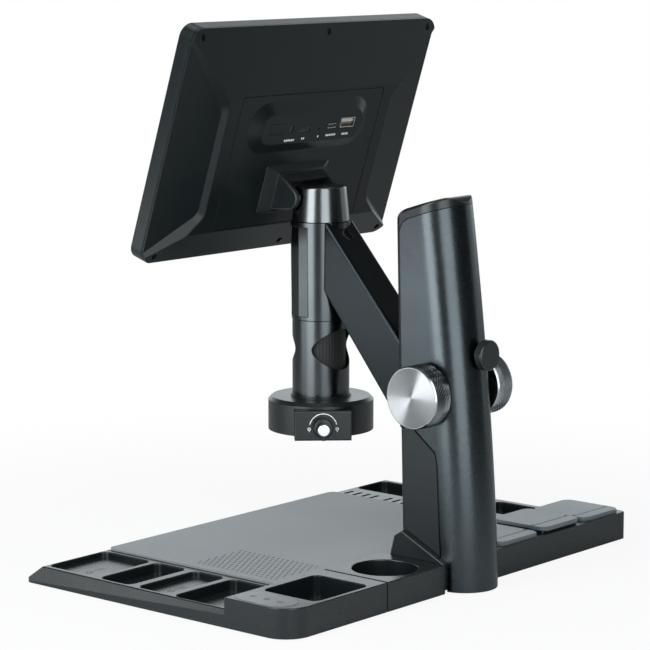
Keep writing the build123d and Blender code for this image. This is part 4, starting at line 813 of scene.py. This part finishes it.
def add_surround(scene):
    """White to the camera; to the object a pale band behind it, low on the far side, and a dim room."""
    world = bpy.data.worlds.new("surround")
    scene.world = world
    world.use_nodes = True
    tree = world.node_tree
    tree.nodes.clear()
    split = tree.nodes.new("ShaderNodeSeparateXYZ")
    tree.links.new(tree.nodes.new("ShaderNodeTexCoord").outputs["Generated"], split.inputs[0])
    low = smooth_range(tree, split.outputs["Z"], BAND_HEIGHT)
    away_x = math_node(tree, "MULTIPLY", split.outputs["X"], -cos(VIEW_AZIMUTH))
    behind = math_node(tree, "MULTIPLY_ADD", split.outputs["Y"], -sin(VIEW_AZIMUTH), away_x)
    band = math_node(tree, "MULTIPLY", low, smooth_range(tree, behind, BAND_SIDE))
    room = tree.nodes.new("ShaderNodeBackground")
    room.inputs["Color"].default_value = ROOM_COLOUR
    tree.links.new(math_node(tree, "MULTIPLY_ADD", band, BAND_LEVEL, ROOM_LEVEL), room.inputs["Strength"])
    white = tree.nodes.new("ShaderNodeBackground")
    white.inputs["Color"].default_value = (1, 1, 1, 1)
    leave = tree.nodes.new("ShaderNodeOutputWorld")
    surface = camera_choice(tree, white.outputs[0], room.outputs[0], camera_rays(tree))
    tree.links.new(surface, leave.inputs["Surface"])


def aimed(direction):
    """The turn of a lamp or camera whose back points along a direction."""
    return direction.to_track_quat("Z", "Y").to_euler()


def add_area(name, location, target, size, radiance):
    """A rectangular lamp of an even brightness, hidden from the camera."""
    data = bpy.data.lights.new(name, "AREA")
    data.shape = "RECTANGLE"
    data.size, data.size_y = size
    data.energy = radiance * pi * size[0] * size[1]
    data.color = LAMP_COLOUR
    lamp = bpy.data.objects.new(name, data)
    bpy.context.scene.collection.objects.link(lamp)
    lamp.location = location
    lamp.rotation_euler = aimed(Vector(location) - target)
    lamp.visible_camera = False


def add_softbox(name, azimuth, distance, size, height, radiance):
    """An upright softbox that stands round the object at an azimuth in degrees."""
    angle = radians(azimuth)
    place = Vector((cos(angle), sin(angle), 0)) * distance
    place.z = height
    add_area(name, place, Vector((0, 0, height)), size, radiance)


def add_camera(scene):
    """The camera, which looks along the view's azimuth and elevation."""
    camera_data = bpy.data.cameras.new("studio_camera")
    camera_data.lens = CAMERA_LENS
    camera = bpy.data.objects.new("studio_camera", camera_data)
    scene.collection.objects.link(camera)
    level = cos(VIEW_ELEVATION)
    away = Vector((level * cos(VIEW_AZIMUTH), level * sin(VIEW_AZIMUTH), sin(VIEW_ELEVATION)))
    camera.location = CAMERA_PLACE
    camera.rotation_euler = aimed(away)
    scene.camera = camera


def add_studio():
    """The floor, the white surround, the softboxes, the lamp overhead and the camera."""
    scene = bpy.context.scene
    scene.view_settings.view_transform = "Standard"
    add_floor()
    add_surround(scene)
    for softbox in SOFTBOXES:
        add_softbox(*softbox)
    add_area("top_softbox", TOP_LAMP_PLACE, LAMP_TARGET, TOP_LAMP_SIZE, TOP_LAMP_RADIANCE)
    add_camera(scene)


finishes = make_finishes()
dress_nodes(finishes)
for side in (-1, 1):
    add_knurled_band(side, finishes["knurl"])
    add_knob_face(side, finishes["knob_face"])
add_painted_pit_shades(finishes["painted_pit_shade"])
add_floor_marks(finishes["dark_print"])
add_socket_marks(finishes["print"])
add_socket_tongues(finishes)
add_dial_marks(finishes["print"])
add_studio()
